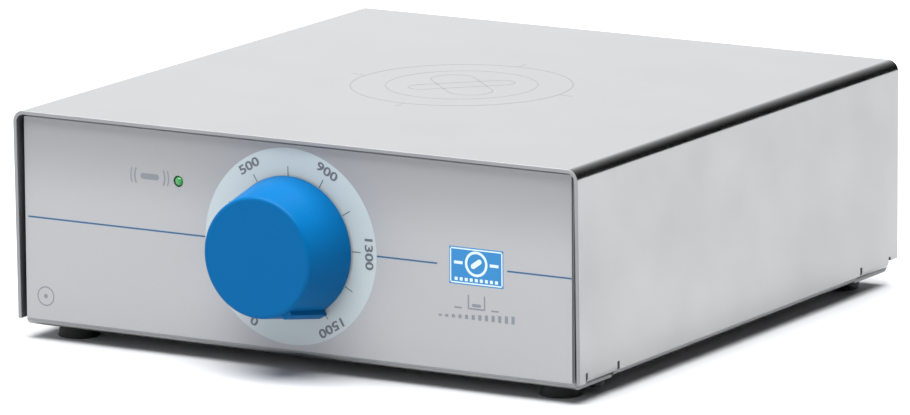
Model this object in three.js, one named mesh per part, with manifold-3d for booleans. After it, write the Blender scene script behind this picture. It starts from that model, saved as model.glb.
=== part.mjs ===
// Single-position magnetic stirrer: a folded stainless chassis with a folded stainless cover,
// a speed knob on the front panel, and a motor that turns a magnet bar under the top plate.
// Millimetres, +Z up, front panel towards -Y. The origin is the centre of the bounding box's
// base, on the plane that the four feet stand on.

import * as THREE from 'three';
import { mergeVertices } from 'three/addons/utils/BufferGeometryUtils.js';
import Module from 'manifold-3d';

const wasm = await Module();
wasm.setup();

// ---------------------------------------------------------------- driving dimensions

// Housing. Heights below the feet group are measured from the chassis underside.
const CASE_WIDTH = 200;
const CASE_DEPTH = 204.4;
const CASE_HEIGHT = 67.7;
const SHEET = 1.2;
const COVER_BEND = 3.6;
const CHASSIS_BEND = 2.4;
const OVERHANG = 2.3;
const EDGE_SLANT = 1.2;
const WALL_LIFT = 2.6;
const FRONT_LIFT = 2;
const REAR_LIFT = 4;
const TAB_ROOT = 5.2;
const END_LENGTH = 6;
const TAB_LENGTH = 18;
const TAB_REACH = 13;
const TAB_HOLE_INSET = 6;
const TAB_HOLE_END = 3.4;
const RELIEF = 1.2;
const PANEL_GAP = 1.25;
const FLANGE_HEIGHT = 12;

// Clearances.
const FIT = 0.3;
const GLUE = 0.1;
const RUNNING = 0.1;

// How far a cutting tool passes a face, and the least straight run between two arcs.
const OVERCUT = 1;
const SLIVER = 0.01;

// Feet.
const FOOT_HEIGHT = 4.3;
const FOOT_RADIUS = 6.6;
const FOOT_FLARE = 0.7;
const FOOT_INSET_X = 14;
const FOOT_INSET_Y = 14.2;
const FOOT_WEB = 1.6;

// Front panel.
const OVERLAY = 0.5;
const OVERLAY_SIDE = 0.5;
const OVERLAY_FOOT = 2.4;
const OVERLAY_HEAD = 0.4;
const DIAL_RISE = 0.45;
const DIAL_X = -1.1;
const LED_X = -41.1;
const LED_DROP = 17.1;
const LED_RADIUS = 1.5;
const LED_STANDOUT = 0.5;
const LED_LENGTH = 5.3;
const LED_COLLAR = 0.4;
const LED_COLLAR_HEIGHT = 1;
const LED_SPACER_WALL = 1;

// Knob and potentiometer.
const KNOB_BASE_RADIUS = 22;
const KNOB_FACE_RADIUS = 18.8;
const KNOB_LENGTH = 19;
const KNOB_GAP = 0.8;
const KNOB_WALL = 2.2;
const KNOB_FILLET = 1.1;
const KNOB_HUB_RADIUS = 6.2;
const KNOB_HUB_GAP = 1;
const POINTER_WIDTH = 3.2;
const POINTER_STANDOUT = 1.6;
const POINTER_TIP_STANDOUT = 1.2;
const POINTER_LENGTH = 17.6;
const POINTER_ANGLE = 150;
const SHAFT_RADIUS = 3;
const SHAFT_LENGTH = 26.4;
const BUSH_RADIUS = 4.5;
const BUSH_STANDOUT = 1;
const POT_RADIUS = 12;
const POT_DEPTH = 11.4;
const POT_REAR_WALL = 2;
const POT_NUT_RADIUS = 6.9;
const POT_NUT_HEIGHT = 2;
const WASHER_RADIUS = 6.6;
const WASHER_HEIGHT = 0.7;

// Control board, upright behind the front panel.
const BOARD_LEFT = -54;
const BOARD_RIGHT = 30;
const BOARD_MARGIN = 9;
const BOARD_SHEET = 1.6;
const STANDOFF_RADIUS = 3.4;
const STANDOFF_INSET = 6;
const STANDOFF_END = 3;
const BOARD_SCREW_REACH = 6;
const CAPACITOR_RADIUS = 8;
const CAPACITOR_LENGTH = 21;
const CAPACITOR_X = -24;
const CAPACITOR_RISE = 4;
const HEAT_SINK_WIDTH = 26;
const HEAT_SINK_DEPTH = 13;
const HEAT_SINK_FOOT = 3;
const HEAT_SINK_HEAD = 14;
const HEAT_SINK_X = 12;
const HEAT_SINK_FINS = 5;
const FIN_SHEET = 1.6;
const TERMINAL_WIDTH = 22;
const TERMINAL_DEPTH = 11;
const TERMINAL_HEIGHT = 9;
const TERMINAL_X = -22;
const TERMINAL_DROP = 3;

// Drive: motor, bracket and magnet rotor on the vertical axis through the case centre.
const AIR_GAP = 1.6;
const MAGNET_RADIUS = 11;
const MAGNET_HEIGHT = 7;
const MAGNET_ORBIT = 28;
const KEEPER_LENGTH = 82;
const KEEPER_WIDTH = 24;
const KEEPER_SHEET = 3;
const HUB_RADIUS = 9;
const HUB_HEIGHT = 5;
const BRACKET_SHEET = 2;
const BRACKET_BEND = 4;
const BRACKET_HALF = 44;
const BRACKET_DEPTH = 52;
const BRACKET_FOOT = 12;
const BRACKET_CLEAR = 3.2;
const BRACKET_SCREW_OFFSET = 51;
const MOTOR_RADIUS = 29;
const MOTOR_BOSS_RADIUS = 9;
const MOTOR_BOSS_HEIGHT = 2.6;
const MOTOR_FLOOR_GAP = 7;
const MOTOR_CHAMFER = 2;
const MOTOR_SCREW_ORBIT = 19;
const MOTOR_SCREW_REACH = 6;
const MOTOR_SCREW_BORE = 8;
const MOTOR_SHAFT_RADIUS = 3;
const MOTOR_SHAFT_BURIED = 22;
const HUB_SCREW_LENGTH = 8;
const HUB_SCREW_BRIM = 2;

// Transformer, in the rear corner on the +X side.
const CORE_WIDTH = 50;
const CORE_DEPTH = 22;
const CORE_HEIGHT = 42;
const CORE_LEG = 16;
const CORE_YOKE = 8;
const CORE_WINDOW = 9;
const WINDING_BULGE = 8;
const WINDING_CORNER = 3;
const CORE_SIDE_GAP = 12;
const CORE_REAR_GAP = 30;

// Mains inlet with a fuse drawer, and the power switch, on the rear panel.
const REAR_RISE = 0.75;
const INLET_FLANGE_WIDTH = 50;
const INLET_FLANGE_HEIGHT = 33;
const INLET_FLANGE = 2.2;
const INLET_CORNER = 3;
const INLET_WALL = 1.9;
const INLET_BODY_DEPTH = 26;
const INLET_SCREW_OFFSET = 20;
const SOCKET_WIDTH = 24.6;
const SOCKET_HEIGHT = 16.6;
const SOCKET_DEPTH = 16;
const SOCKET_CHAMFER = 4;
const PIN_PITCH = 7;
const PIN_WIDTH = 2;
const PIN_HEIGHT = 4;
const PIN_SETBACK = 4.6;
const PIN_LENGTH = 28;
const EARTH_RISE = 4;
const DRAWER_WIDTH = 24.6;
const DRAWER_HEIGHT = 7.8;
const DRAWER_DEPTH = 20;
const DRAWER_WALL = 1.7;
const DRAWER_LIP = 1;
const FUSE_RADIUS = 2.5;
const FUSE_LENGTH = 20;
const SWITCH_WIDTH = 15;
const SWITCH_HEIGHT = 21;
const SWITCH_BEZEL = 2;
const SWITCH_SHELL = 1;
const SWITCH_DEPTH = 16;
const ROCKER_RADIUS = 8;
const ROCKER_THROW = 10;
const ROCKER_PIVOT_DEPTH = 2.6;
const ROCKER_END = 4.6;
const ROCKER_DIP = 3.2;
const ROCKER_TIP = 1;
const FUSE_SETBACK = 2;
const CUTOUT_CORNER = 1;
const PLATE_WIDTH = 62;
const PLATE_HEIGHT = 34;
const PLATE_SHEET = 0.4;
const VENT_COUNT = 5;
const VENT_PITCH = 8;
const VENT_WIDTH = 2.6;
const VENT_LENGTH = 28;
const VENT_SIDE_GAP = 9;
const VENT_Y = -48;

// Screws, as shank and head radii and head height. The rim is a share of the head's height.
const M3 = { shank: 1.5, head: 2.8, height: 1.9 };
const M4 = { shank: 2, head: 3.6, height: 2.4 };
const SCREW_RIM = 0.35;
const SCREW_REACH = 3;

// Leads. The turns are offsets in x, y and z from the middle of the terminal block's rear.
const LEAD_RADIUS = 1.8;
const LEAD_RISE = 5;
const LEAD_GAP = 1;
const LEAD_STRAIGHT = 7;
const MOTOR_POLE = -4;
const SUPPLY_POLE = 6;
const MOTOR_LEAD_TURN = [12, 18, -8];
const SUPPLY_LEAD_TURN = [30, 12, -8];
const SUPPLY_LEAD_WALL_GAP = 24;
const SUPPLY_LEAD_FRONT_GAP = 20;
const MAINS_LEAD_TURN = [12, 2];
const LEAD_STEPS = 22;
const LEAD_ARC_STEPS = 4;

// Facets.
const FINE = 48;
const ROUND = 24;
const SMALL = 12;
const BEND_STEPS = 3;
const DOME_STEPS = 5;
const FILLET_STEPS = 4;

// ---------------------------------------------------------------- derived places

const halfWidth = CASE_WIDTH / 2;
const halfDepth = CASE_DEPTH / 2;
const panelFace = halfDepth - OVERHANG;
const panelBack = panelFace - SHEET;
const panelTop = CASE_HEIGHT - SHEET - FIT;
const panelHalf = halfWidth - SHEET - PANEL_GAP;
const flangeHalf = halfWidth - SHEET - FIT;
const floorTop = SHEET;
const tabStart = halfDepth - END_LENGTH;
const tabEnd = tabStart - TAB_LENGTH;
const tabCentre = (tabStart + tabEnd) / 2;
const tabHoleX = halfWidth - TAB_HOLE_INSET;
const tabHoleY = tabEnd + TAB_HOLE_END;
const flangeDepth = tabEnd - RELIEF / 2;
const footX = halfWidth - FOOT_INSET_X;
const footY = halfDepth - FOOT_INSET_Y;
const overlayBack = -panelFace - GLUE;
const overlayFace = overlayBack - OVERLAY;
const dialZ = CASE_HEIGHT / 2 + DIAL_RISE;
const ledZ = CASE_HEIGHT - LED_DROP;
const potFront = -panelBack + FIT;
const potRear = potFront + POT_DEPTH;
const boardFront = potRear + FIT;
const boardBack = boardFront + BOARD_SHEET;
const boardLow = floorTop + BOARD_MARGIN;
const boardHigh = panelTop - BOARD_MARGIN;
const magnetTop = CASE_HEIGHT - SHEET - AIR_GAP;
const magnetLow = magnetTop - MAGNET_HEIGHT;
const keeperTop = magnetLow - GLUE;
const keeperLow = keeperTop - KEEPER_SHEET;
const hubTop = keeperLow - GLUE;
const hubLow = hubTop - HUB_HEIGHT;
const bracketTop = hubLow - BRACKET_CLEAR;
const bracketLow = bracketTop - BRACKET_SHEET;
const bracketFloor = floorTop + FIT;
const motorTop = bracketLow - FIT;
const motorLow = floorTop + MOTOR_FLOOR_GAP;
const coreX = halfWidth - SHEET - CORE_SIDE_GAP - CORE_WIDTH / 2;
const coreY = panelBack - CORE_REAR_GAP - CORE_DEPTH / 2;
const coreLow = floorTop + FIT;
const coreTop = coreLow + CORE_HEIGHT;
const coreScrewX = CORE_WIDTH / 2 - CORE_YOKE / 2;
const rearGap = (2 * panelHalf - INLET_FLANGE_WIDTH - SWITCH_WIDTH - PLATE_WIDTH) / 4;
const inletX = -panelHalf + rearGap + INLET_FLANGE_WIDTH / 2;
const plateX = panelHalf - rearGap - PLATE_WIDTH / 2;
const switchX = plateX - PLATE_WIDTH / 2 - rearGap - SWITCH_WIDTH / 2;
const inletZ = CASE_HEIGHT / 2 + REAR_RISE;
const inletFace = panelFace + GLUE + INLET_FLANGE;
const inletRear = inletFace - INLET_BODY_DEPTH;
const inletBodyHalfWidth = SOCKET_WIDTH / 2 + INLET_WALL;
const inletBodyHalfHeight = (SOCKET_HEIGHT + DRAWER_HEIGHT + DRAWER_WALL) / 2 + INLET_WALL;
const socketZ = inletZ - inletBodyHalfHeight + INLET_WALL + SOCKET_HEIGHT / 2;
const drawerZ = inletZ + inletBodyHalfHeight - INLET_WALL - DRAWER_HEIGHT / 2;
const pivotY = panelFace + GLUE + SWITCH_BEZEL - ROCKER_PIVOT_DEPTH;

// ---------------------------------------------------------------- shape helpers

function block([x0, x1], [y0, y1], [z0, z1]) {
  const box = new THREE.BoxGeometry(x1 - x0, y1 - y0, z1 - z0);
  return box.translate((x0 + x1) / 2, (y0 + y1) / 2, (z0 + z1) / 2);
}

function rodX(radius, [x0, x1], y, z, sides = ROUND) {
  const rod = new THREE.CylinderGeometry(radius, radius, x1 - x0, sides).rotateZ(-Math.PI / 2);
  return rod.translate((x0 + x1) / 2, y, z);
}

function rodY(radius, x, [y0, y1], z, sides = ROUND) {
  const rod = new THREE.CylinderGeometry(radius, radius, y1 - y0, sides);
  return rod.translate(x, (y0 + y1) / 2, z);
}

function rodZ(radius, x, y, [z0, z1], sides = ROUND) {
  const rod = new THREE.CylinderGeometry(radius, radius, z1 - z0, sides).rotateX(Math.PI / 2);
  return rod.translate(x, y, (z0 + z1) / 2);
}

// A closed outline of [u, v] points.
function outline(points) {
  return new THREE.Shape(points.map(([u, v]) => new THREE.Vector2(u, v)));
}

function extrude(shape, depth) {
  return new THREE.ExtrudeGeometry(shape, {
    depth,
    bevelEnabled: false,
    curveSegments: BEND_STEPS,
  });
}

// A section in (y, z), pulled along X.
function alongX(shape, [x0, x1]) {
  const turn = new THREE.Matrix4().makeBasis(
    new THREE.Vector3(0, 1, 0),
    new THREE.Vector3(0, 0, 1),
    new THREE.Vector3(1, 0, 0),
  );
  return extrude(shape, x1 - x0).applyMatrix4(turn).translate(x0, 0, 0);
}

// A section in (x, z), pulled along Y.
function alongY(shape, [y0, y1]) {
  return extrude(shape, y1 - y0).rotateX(Math.PI / 2).translate(0, y1, 0);
}

// A section in (x, y), pulled along Z.
function alongZ(shape, [z0, z1]) {
  return extrude(shape, z1 - z0).translate(0, 0, z0);
}

// A solid turned about the Z axis from [radius, z] points that start and end on the axis,
// going outwards at the bottom and back in at the top.
function turned(points, sides = ROUND) {
  const profile = points.map(([r, z]) => new THREE.Vector2(r, z));
  return new THREE.LatheGeometry(profile, sides).rotateX(Math.PI / 2);
}

// A ring turned about the Z axis, from z0 to z1.
function ring(inner, outer, [z0, z1], sides = ROUND) {
  return turned([[inner, z0], [outer, z0], [outer, z1], [inner, z1], [inner, z0]], sides);
}

// A screw along Z with its head's underside at 0 and its shank pointing down.
function screw(size, length) {
  const { shank, head, height } = size;
  const rim = height * SCREW_RIM;
  return turned([
    [0, -length],
    [shank, -length],
    [shank, 0],
    [head, 0],
    [head, height - rim],
    [head - rim, height],
    [0, height],
  ], SMALL);
}

// A U section of folded sheet: floor at v = 0, walls up to `height` at u = +-half.
function channel(half, height, bend) {
  const inner = bend - SHEET;
  const shape = new THREE.Shape();
  shape.moveTo(-half, height);
  shape.lineTo(-half, bend);
  shape.absarc(-half + bend, bend, bend, Math.PI, 1.5 * Math.PI, false);
  shape.lineTo(half - bend, 0);
  shape.absarc(half - bend, bend, bend, 1.5 * Math.PI, 2 * Math.PI, false);
  shape.lineTo(half, height);
  shape.lineTo(half - SHEET, height);
  shape.lineTo(half - SHEET, bend);
  shape.absarc(half - bend, bend, inner, 2 * Math.PI, 1.5 * Math.PI, true);
  shape.lineTo(-half + bend, SHEET);
  shape.absarc(-half + bend, bend, inner, 1.5 * Math.PI, Math.PI, true);
  shape.lineTo(-half + SHEET, height);
  shape.closePath();
  return shape;
}

// A rectangle centred on (u, v) with round corners.
function roundedRectangle(width, height, corner, u = 0, v = 0) {
  const right = u + width / 2;
  const left = u - width / 2;
  const top = v + height / 2;
  const low = v - height / 2;
  const shape = new THREE.Shape();
  shape.moveTo(left + corner, low);
  shape.absarc(right - corner, low + corner, corner, 1.5 * Math.PI, 2 * Math.PI, false);
  shape.absarc(right - corner, top - corner, corner, 0, 0.5 * Math.PI, false);
  shape.absarc(left + corner, top - corner, corner, 0.5 * Math.PI, Math.PI, false);
  shape.absarc(left + corner, low + corner, corner, Math.PI, 1.5 * Math.PI, false);
  shape.closePath();
  return shape;
}

function toSolid(geometry) {
  const bare = geometry.clone();
  bare.deleteAttribute('normal');
  bare.deleteAttribute('uv');
  const merged = mergeVertices(bare);
  return new wasm.Manifold(new wasm.Mesh({
    numProp: 3,
    vertProperties: new Float32Array(merged.attributes.position.array),
    triVerts: new Uint32Array(merged.index.array),
  }));
}

function toGeometry(solid) {
  const mesh = solid.getMesh();
  const geometry = new THREE.BufferGeometry();
  geometry.setAttribute('position', new THREE.BufferAttribute(mesh.vertProperties, 3));
  geometry.setIndex(new THREE.BufferAttribute(mesh.triVerts, 1));
  return geometry;
}

function join(...geometries) {
  return toGeometry(geometries.map(toSolid).reduce((whole, next) => whole.add(next)));
}

function cut(body, ...tools) {
  return toGeometry(tools.map(toSolid).reduce((left, tool) => left.subtract(tool), toSolid(body)));
}

// ---------------------------------------------------------------- materials and the tree

function finish(color, roughness, metalness) {
  return { color, roughness, metalness };
}

const STAINLESS = finish(0xc9cbcc, 0.32, 1);
const ZINC_STEEL = finish(0xaeb1b4, 0.4, 1);
const SCREW_STEEL = finish(0xb9bcbf, 0.3, 1);
const BRASS = finish(0xc2a25a, 0.3, 1);
const ALUMINIUM = finish(0xc4c7ca, 0.38, 1);
const BLACK_ALUMINIUM = finish(0x24272a, 0.5, 0.7);
const OVERLAY_GREY = finish(0xc3c9cf, 0.45, 0);
const KNOB_BLUE = finish(0x0a7fc4, 0.32, 0);
const GREEN_LENS = finish(0x2fae4a, 0.15, 0);
const WHITE_NYLON = finish(0xe4e2da, 0.5, 0);
const BOARD_GREEN = finish(0x1e5b3a, 0.4, 0);
const BLACK_PLASTIC = finish(0x1b1c1e, 0.45, 0);
const RUBBER = finish(0x141415, 0.8, 0);
const LAMINATION = finish(0x4a4744, 0.5, 0.8);
const WINDING_TAPE = finish(0xc9a13a, 0.55, 0);
const MAGNET = finish(0x34363a, 0.45, 0.6);
const GLASS = finish(0xd9e2e4, 0.08, 0);
const FOIL = finish(0xd0d2d3, 0.35, 0.9);
const SLEEVE = finish(0x2b2d30, 0.6, 0);

const housing = new THREE.Group();

function add(name, geometry, look, parent = housing) {
  const mesh = new THREE.Mesh(geometry, new THREE.MeshStandardMaterial(look));
  mesh.name = name;
  parent.add(mesh);
  return mesh;
}

// A screw whose head faces along `towards`: 'up', 'down', 'front' or 'back'.
function addScrew(name, size, length, towards, [x, y, z], parent = housing) {
  const tilt = { up: 0, down: Math.PI, front: Math.PI / 2, back: -Math.PI / 2 }[towards];
  const mesh = add(name, screw(size, length), SCREW_STEEL, parent);
  mesh.rotation.x = tilt;
  mesh.position.set(x, y, z);
}

const SIDES = [['left', -1], ['right', 1]];
const CORNERS = [
  ['front_left', -1, -1],
  ['front_right', 1, -1],
  ['rear_left', -1, 1],
  ['rear_right', 1, 1],
];

// ---------------------------------------------------------------- folded housing

function chassisHoles() {
  const through = [-FIT, SHEET + FIT];
  const front = [-panelFace - FIT, -panelBack + FIT];
  const rear = [panelBack - FIT, panelFace + FIT];
  const holes = [
    rodY(BUSH_RADIUS + FIT, DIAL_X, front, dialZ),
    rodY(LED_RADIUS + FIT, LED_X, front, ledZ, SMALL),
    alongY(roundedRectangle(2 * (inletBodyHalfWidth + FIT), 2 * (inletBodyHalfHeight + FIT),
      CUTOUT_CORNER, inletX, inletZ), rear),
    alongY(roundedRectangle(SWITCH_WIDTH - 2 * SWITCH_SHELL + 2 * FIT,
      SWITCH_HEIGHT - 2 * SWITCH_SHELL + 2 * FIT, CUTOUT_CORNER, switchX, inletZ), rear),
  ];
  for (const [, side] of SIDES) {
    const screwX = inletX + side * INLET_SCREW_OFFSET;
    holes.push(rodY(M3.shank + FIT, screwX, rear, inletZ, SMALL));
    holes.push(rodZ(M4.shank + FIT, coreX + side * coreScrewX, coreY, through, SMALL));
    holes.push(rodZ(M4.shank + FIT, side * BRACKET_SCREW_OFFSET, 0, through, SMALL));
  }
  for (const [, sideX, sideY] of CORNERS) {
    holes.push(rodZ(M3.shank + FIT, sideX * footX, sideY * footY, through, SMALL));
    holes.push(rodZ(M3.shank + FIT, sideX * tabHoleX, sideY * tabHoleY, through, SMALL));
  }
  return holes;
}

// Cooling slots in the chassis floor, in a row beside the -X wall.
function ventSlots() {
  const slots = [];
  for (let i = 0; i < VENT_COUNT; i += 1) {
    const y = VENT_Y + (i - (VENT_COUNT - 1) / 2) * VENT_PITCH;
    const shape = roundedRectangle(VENT_LENGTH, VENT_WIDTH, VENT_WIDTH / 2 - SLIVER,
      -halfWidth + VENT_SIDE_GAP + VENT_LENGTH / 2, y);
    slots.push(alongZ(shape, [-FIT, SHEET + FIT]));
  }
  return slots;
}

// The front and rear panels' top corners are cropped to clear the inside of the cover's bends.
function cornerCrops() {
  const leg = (COVER_BEND - SHEET) / 2;
  return SIDES.map(([, side]) => alongY(outline([
    [side * (panelHalf - leg), panelTop],
    [side * panelHalf, panelTop - leg],
    [side * (panelHalf + leg), panelTop + leg],
  ]), [-halfDepth, halfDepth]));
}

// One folded sheet: floor, front panel and rear panel, with low side flanges between the tabs.
function makeChassis() {
  const trough = alongX(channel(panelFace, panelTop, CHASSIS_BEND), [-panelHalf, panelHalf]);
  const flanges = alongY(channel(flangeHalf, FLANGE_HEIGHT, CHASSIS_BEND),
    [-flangeDepth, flangeDepth]);
  return cut(join(trough, flanges), ...chassisHoles(), ...ventSlots(), ...cornerCrops());
}

// The side walls' front edges lean back towards the bottom.
function slantTool() {
  const reach = 2 * SHEET;
  const profile = outline([
    [-halfDepth - reach, -reach],
    [-halfDepth + EDGE_SLANT, -reach],
    [-halfDepth, CASE_HEIGHT - COVER_BEND],
    [-halfDepth - reach, CASE_HEIGHT - COVER_BEND],
  ]);
  return alongX(profile, [-halfWidth - reach, halfWidth + reach]);
}

// Under-tabs: the wall is folded inwards over the chassis floor near the front and the rear.
function coverTabs(side) {
  const low = floorTop + FIT;
  const span = [side * tabCentre - TAB_LENGTH / 2, side * tabCentre + TAB_LENGTH / 2];
  const fold = alongY(channel(halfWidth, TAB_ROOT, CHASSIS_BEND), span);
  const middle = halfWidth - TAB_REACH;
  const tools = [block([-middle, middle], [-halfDepth, halfDepth], [-SHEET, CASE_HEIGHT])];
  for (const [, left] of SIDES) {
    tools.push(rodZ(M3.shank + FIT, left * tabHoleX, side * tabHoleY, [-SHEET, 2 * SHEET], SMALL));
  }
  return cut(fold, ...tools).translate(0, 0, low);
}

// One folded sheet: top plate and two side walls.
function makeCover() {
  const shell = alongY(channel(halfWidth, CASE_HEIGHT - FRONT_LIFT, COVER_BEND),
    [-halfDepth, halfDepth]).rotateY(Math.PI).translate(0, 0, CASE_HEIGHT);
  const across = [-halfWidth - SHEET, halfWidth + SHEET];
  const tools = [slantTool()];
  tools.push(block(across, [-halfDepth - SHEET, -tabStart], [0, FRONT_LIFT]));
  tools.push(block(across, [-tabStart, halfDepth + SHEET], [0, WALL_LIFT]));
  tools.push(block(across, [tabStart, halfDepth + SHEET], [0, REAR_LIFT]));
  for (const [, side] of SIDES) {
    const reach = TAB_LENGTH / 2 + RELIEF;
    const span = [side * tabCentre - reach, side * tabCentre + reach];
    tools.push(block(across, span, [0, TAB_ROOT]));
  }
  return join(cut(shell, ...tools), coverTabs(-1), coverTabs(1));
}

add('chassis', makeChassis(), STAINLESS);
add('cover', makeCover(), STAINLESS);
for (const [place, sideX, sideY] of CORNERS) {
  addScrew(`cover_screw_${place}`, M3, SHEET + 2 * FIT + SCREW_REACH, 'down',
    [sideX * tabHoleX, sideY * tabHoleY, -FIT]);
}

// ---------------------------------------------------------------- feet

// A round rubber foot, its lower edge slightly flared, with a pocket for the screw head.
function makeFoot() {
  const bore = M3.shank + FIT;
  const pocket = M3.head + FIT;
  const shoulder = FOOT_HEIGHT - FOOT_WEB;
  return turned([
    [pocket, 0],
    [FOOT_RADIUS - FOOT_FLARE / 2, 0],
    [FOOT_RADIUS, FOOT_FLARE / 2],
    [FOOT_RADIUS - FOOT_FLARE, FOOT_HEIGHT - FIT],
    [bore, FOOT_HEIGHT - FIT],
    [bore, shoulder],
    [pocket, shoulder],
    [pocket, 0],
  ]);
}

for (const [place, sideX, sideY] of CORNERS) {
  const foot = add(`foot_${place}`, makeFoot(), RUBBER);
  foot.position.set(sideX * footX, sideY * footY, -FOOT_HEIGHT);
  addScrew(`foot_screw_${place}`, M3, FOOT_WEB + SHEET + FIT, 'down',
    [sideX * footX, sideY * footY, -FOOT_WEB - FIT]);
}

// ---------------------------------------------------------------- front overlay and indicator

function makeOverlay() {
  const half = panelHalf - OVERLAY_SIDE;
  const sheet = block([-half, half], [overlayFace, overlayBack],
    [OVERLAY_FOOT, panelTop - OVERLAY_HEAD]);
  const through = [overlayFace - FIT, overlayBack + FIT];
  return cut(sheet,
    rodY(BUSH_RADIUS + FIT, DIAL_X, through, dialZ),
    rodY(LED_RADIUS + FIT, LED_X, through, ledZ, SMALL));
}

// Points on a quarter circle of [radius, z], from its widest point round to its top.
function quarterArc(centreRadius, centreZ, radius, steps) {
  return Array.from({ length: steps + 1 }, (_, i) => {
    const angle = (i / steps) * Math.PI / 2;
    return [centreRadius + radius * Math.cos(angle), centreZ + radius * Math.sin(angle)];
  });
}

// A domed lens that stands just out of the overlay, with the usual collar at its base.
function makeLed() {
  const collar = LED_RADIUS + LED_COLLAR;
  const dome = quarterArc(0, LED_LENGTH - LED_RADIUS, LED_RADIUS, DOME_STEPS).slice(0, -1);
  return turned([
    [0, 0],
    [collar, 0],
    [collar, LED_COLLAR_HEIGHT],
    [LED_RADIUS, LED_COLLAR_HEIGHT],
    ...dome,
    [0, LED_LENGTH],
  ], SMALL);
}

const ledTip = overlayFace - LED_STANDOUT;
const ledBase = ledTip + LED_LENGTH;
add('front_overlay', makeOverlay(), OVERLAY_GREY);
const led = add('run_led', makeLed(), GREEN_LENS);
led.rotation.x = Math.PI / 2;
led.position.set(LED_X, ledBase, ledZ);
add('led_spacer', rodY(LED_RADIUS + LED_SPACER_WALL, LED_X, [ledBase + FIT, boardFront - FIT],
  ledZ, SMALL), WHITE_NYLON);

// ---------------------------------------------------------------- potentiometer and knob

const washerFace = overlayFace - FIT - WASHER_HEIGHT;
const nutFace = washerFace - FIT - POT_NUT_HEIGHT;
const bushTip = nutFace - BUSH_STANDOUT;
const knobLow = KNOB_GAP;
const knobTop = KNOB_GAP + KNOB_LENGTH;
const shaftRear = potRear - POT_REAR_WALL - FIT;
const shaftTip = shaftRear - SHAFT_LENGTH;

function makePotBody() {
  const can = rodY(POT_RADIUS, DIAL_X, [potFront, potRear], dialZ);
  const bush = rodY(BUSH_RADIUS, DIAL_X, [bushTip, potFront + OVERCUT], dialZ);
  const bore = rodY(SHAFT_RADIUS + RUNNING, DIAL_X, [bushTip - OVERCUT, potRear - POT_REAR_WALL],
    dialZ);
  return cut(join(can, bush), bore);
}

// Heights along the knob's axis are measured outwards from the overlay's face.
function makeKnobBody() {
  const taper = (KNOB_BASE_RADIUS - KNOB_FACE_RADIUS) / KNOB_LENGTH;
  const inner = knobTop - KNOB_WALL;
  const hubLowEnd = overlayFace - bushTip + KNOB_HUB_GAP;
  const boreEnd = overlayFace - shaftTip + FIT;
  const cavityRadius = KNOB_BASE_RADIUS - KNOB_WALL;
  return turned([
    [0, boreEnd],
    [SHAFT_RADIUS + RUNNING, boreEnd],
    [SHAFT_RADIUS + RUNNING, hubLowEnd],
    [KNOB_HUB_RADIUS, hubLowEnd],
    [KNOB_HUB_RADIUS, inner],
    [cavityRadius - taper * (inner - knobLow), inner],
    [cavityRadius, knobLow],
    [KNOB_BASE_RADIUS, knobLow],
    ...quarterArc(KNOB_FACE_RADIUS - KNOB_FILLET, knobTop - KNOB_FILLET, KNOB_FILLET, FILLET_STEPS),
    [0, knobTop],
  ], FINE);
}

// The pointer is a ridge along the knob's flank, standing out a little more at the base.
function makePointer() {
  const root = KNOB_BASE_RADIUS - KNOB_WALL / 2;
  const taper = (KNOB_BASE_RADIUS - KNOB_FACE_RADIUS) / KNOB_LENGTH;
  const profile = outline([
    [root, knobLow],
    [KNOB_BASE_RADIUS + POINTER_STANDOUT, knobLow],
    [KNOB_BASE_RADIUS - taper * POINTER_LENGTH + POINTER_TIP_STANDOUT, knobLow + POINTER_LENGTH],
    [root - taper * POINTER_LENGTH, knobLow + POINTER_LENGTH],
  ]);
  return alongX(profile, [-POINTER_WIDTH / 2, POINTER_WIDTH / 2]);
}

add('pot_body', makePotBody(), ZINC_STEEL);
const washer = add('pot_washer', ring(BUSH_RADIUS + FIT, WASHER_RADIUS, [0, WASHER_HEIGHT]),
  ZINC_STEEL);
washer.rotation.x = Math.PI / 2;
washer.position.set(DIAL_X, washerFace + WASHER_HEIGHT, dialZ);
const nut = add('pot_nut', cut(rodZ(POT_NUT_RADIUS, 0, 0, [0, POT_NUT_HEIGHT], 6),
  rodZ(BUSH_RADIUS + FIT, 0, 0, [-OVERCUT, POT_NUT_HEIGHT + OVERCUT])), BRASS);
nut.rotation.x = Math.PI / 2;
nut.position.set(DIAL_X, nutFace + POT_NUT_HEIGHT, dialZ);
add('pot_shaft', rodY(SHAFT_RADIUS, DIAL_X, [shaftTip, shaftRear], dialZ), ALUMINIUM);

// At rest the knob points at the top of its scale, a fixed angle clockwise from straight up.
const knob = new THREE.Group();
knob.position.set(DIAL_X, overlayFace, dialZ);
knob.rotation.set(Math.PI / 2, 0, 0);
housing.add(knob);
const pointerTurn = -THREE.MathUtils.degToRad(POINTER_ANGLE);
add('speed_knob', join(makeKnobBody(), makePointer().rotateZ(pointerTurn)), KNOB_BLUE, knob);

// ---------------------------------------------------------------- control board

const standoffs = [
  ['left', BOARD_LEFT + STANDOFF_INSET, boardLow + STANDOFF_INSET],
  ['right', BOARD_RIGHT - STANDOFF_INSET, boardHigh - STANDOFF_INSET],
];

function makeBoard() {
  const sheet = block([BOARD_LEFT, BOARD_RIGHT], [boardFront, boardBack], [boardLow, boardHigh]);
  const through = [boardFront - FIT, boardBack + FIT];
  const holes = standoffs.map(([, x, z]) => rodY(M3.shank + FIT, x, through, z, SMALL));
  return cut(sheet, ...holes);
}

function makeStandoff(x, z) {
  return cut(rodY(STANDOFF_RADIUS, x, [potFront, potRear], z, 6),
    rodY(M3.shank + FIT, x, [potFront + STANDOFF_END, potRear + OVERCUT], z, SMALL));
}

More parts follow.
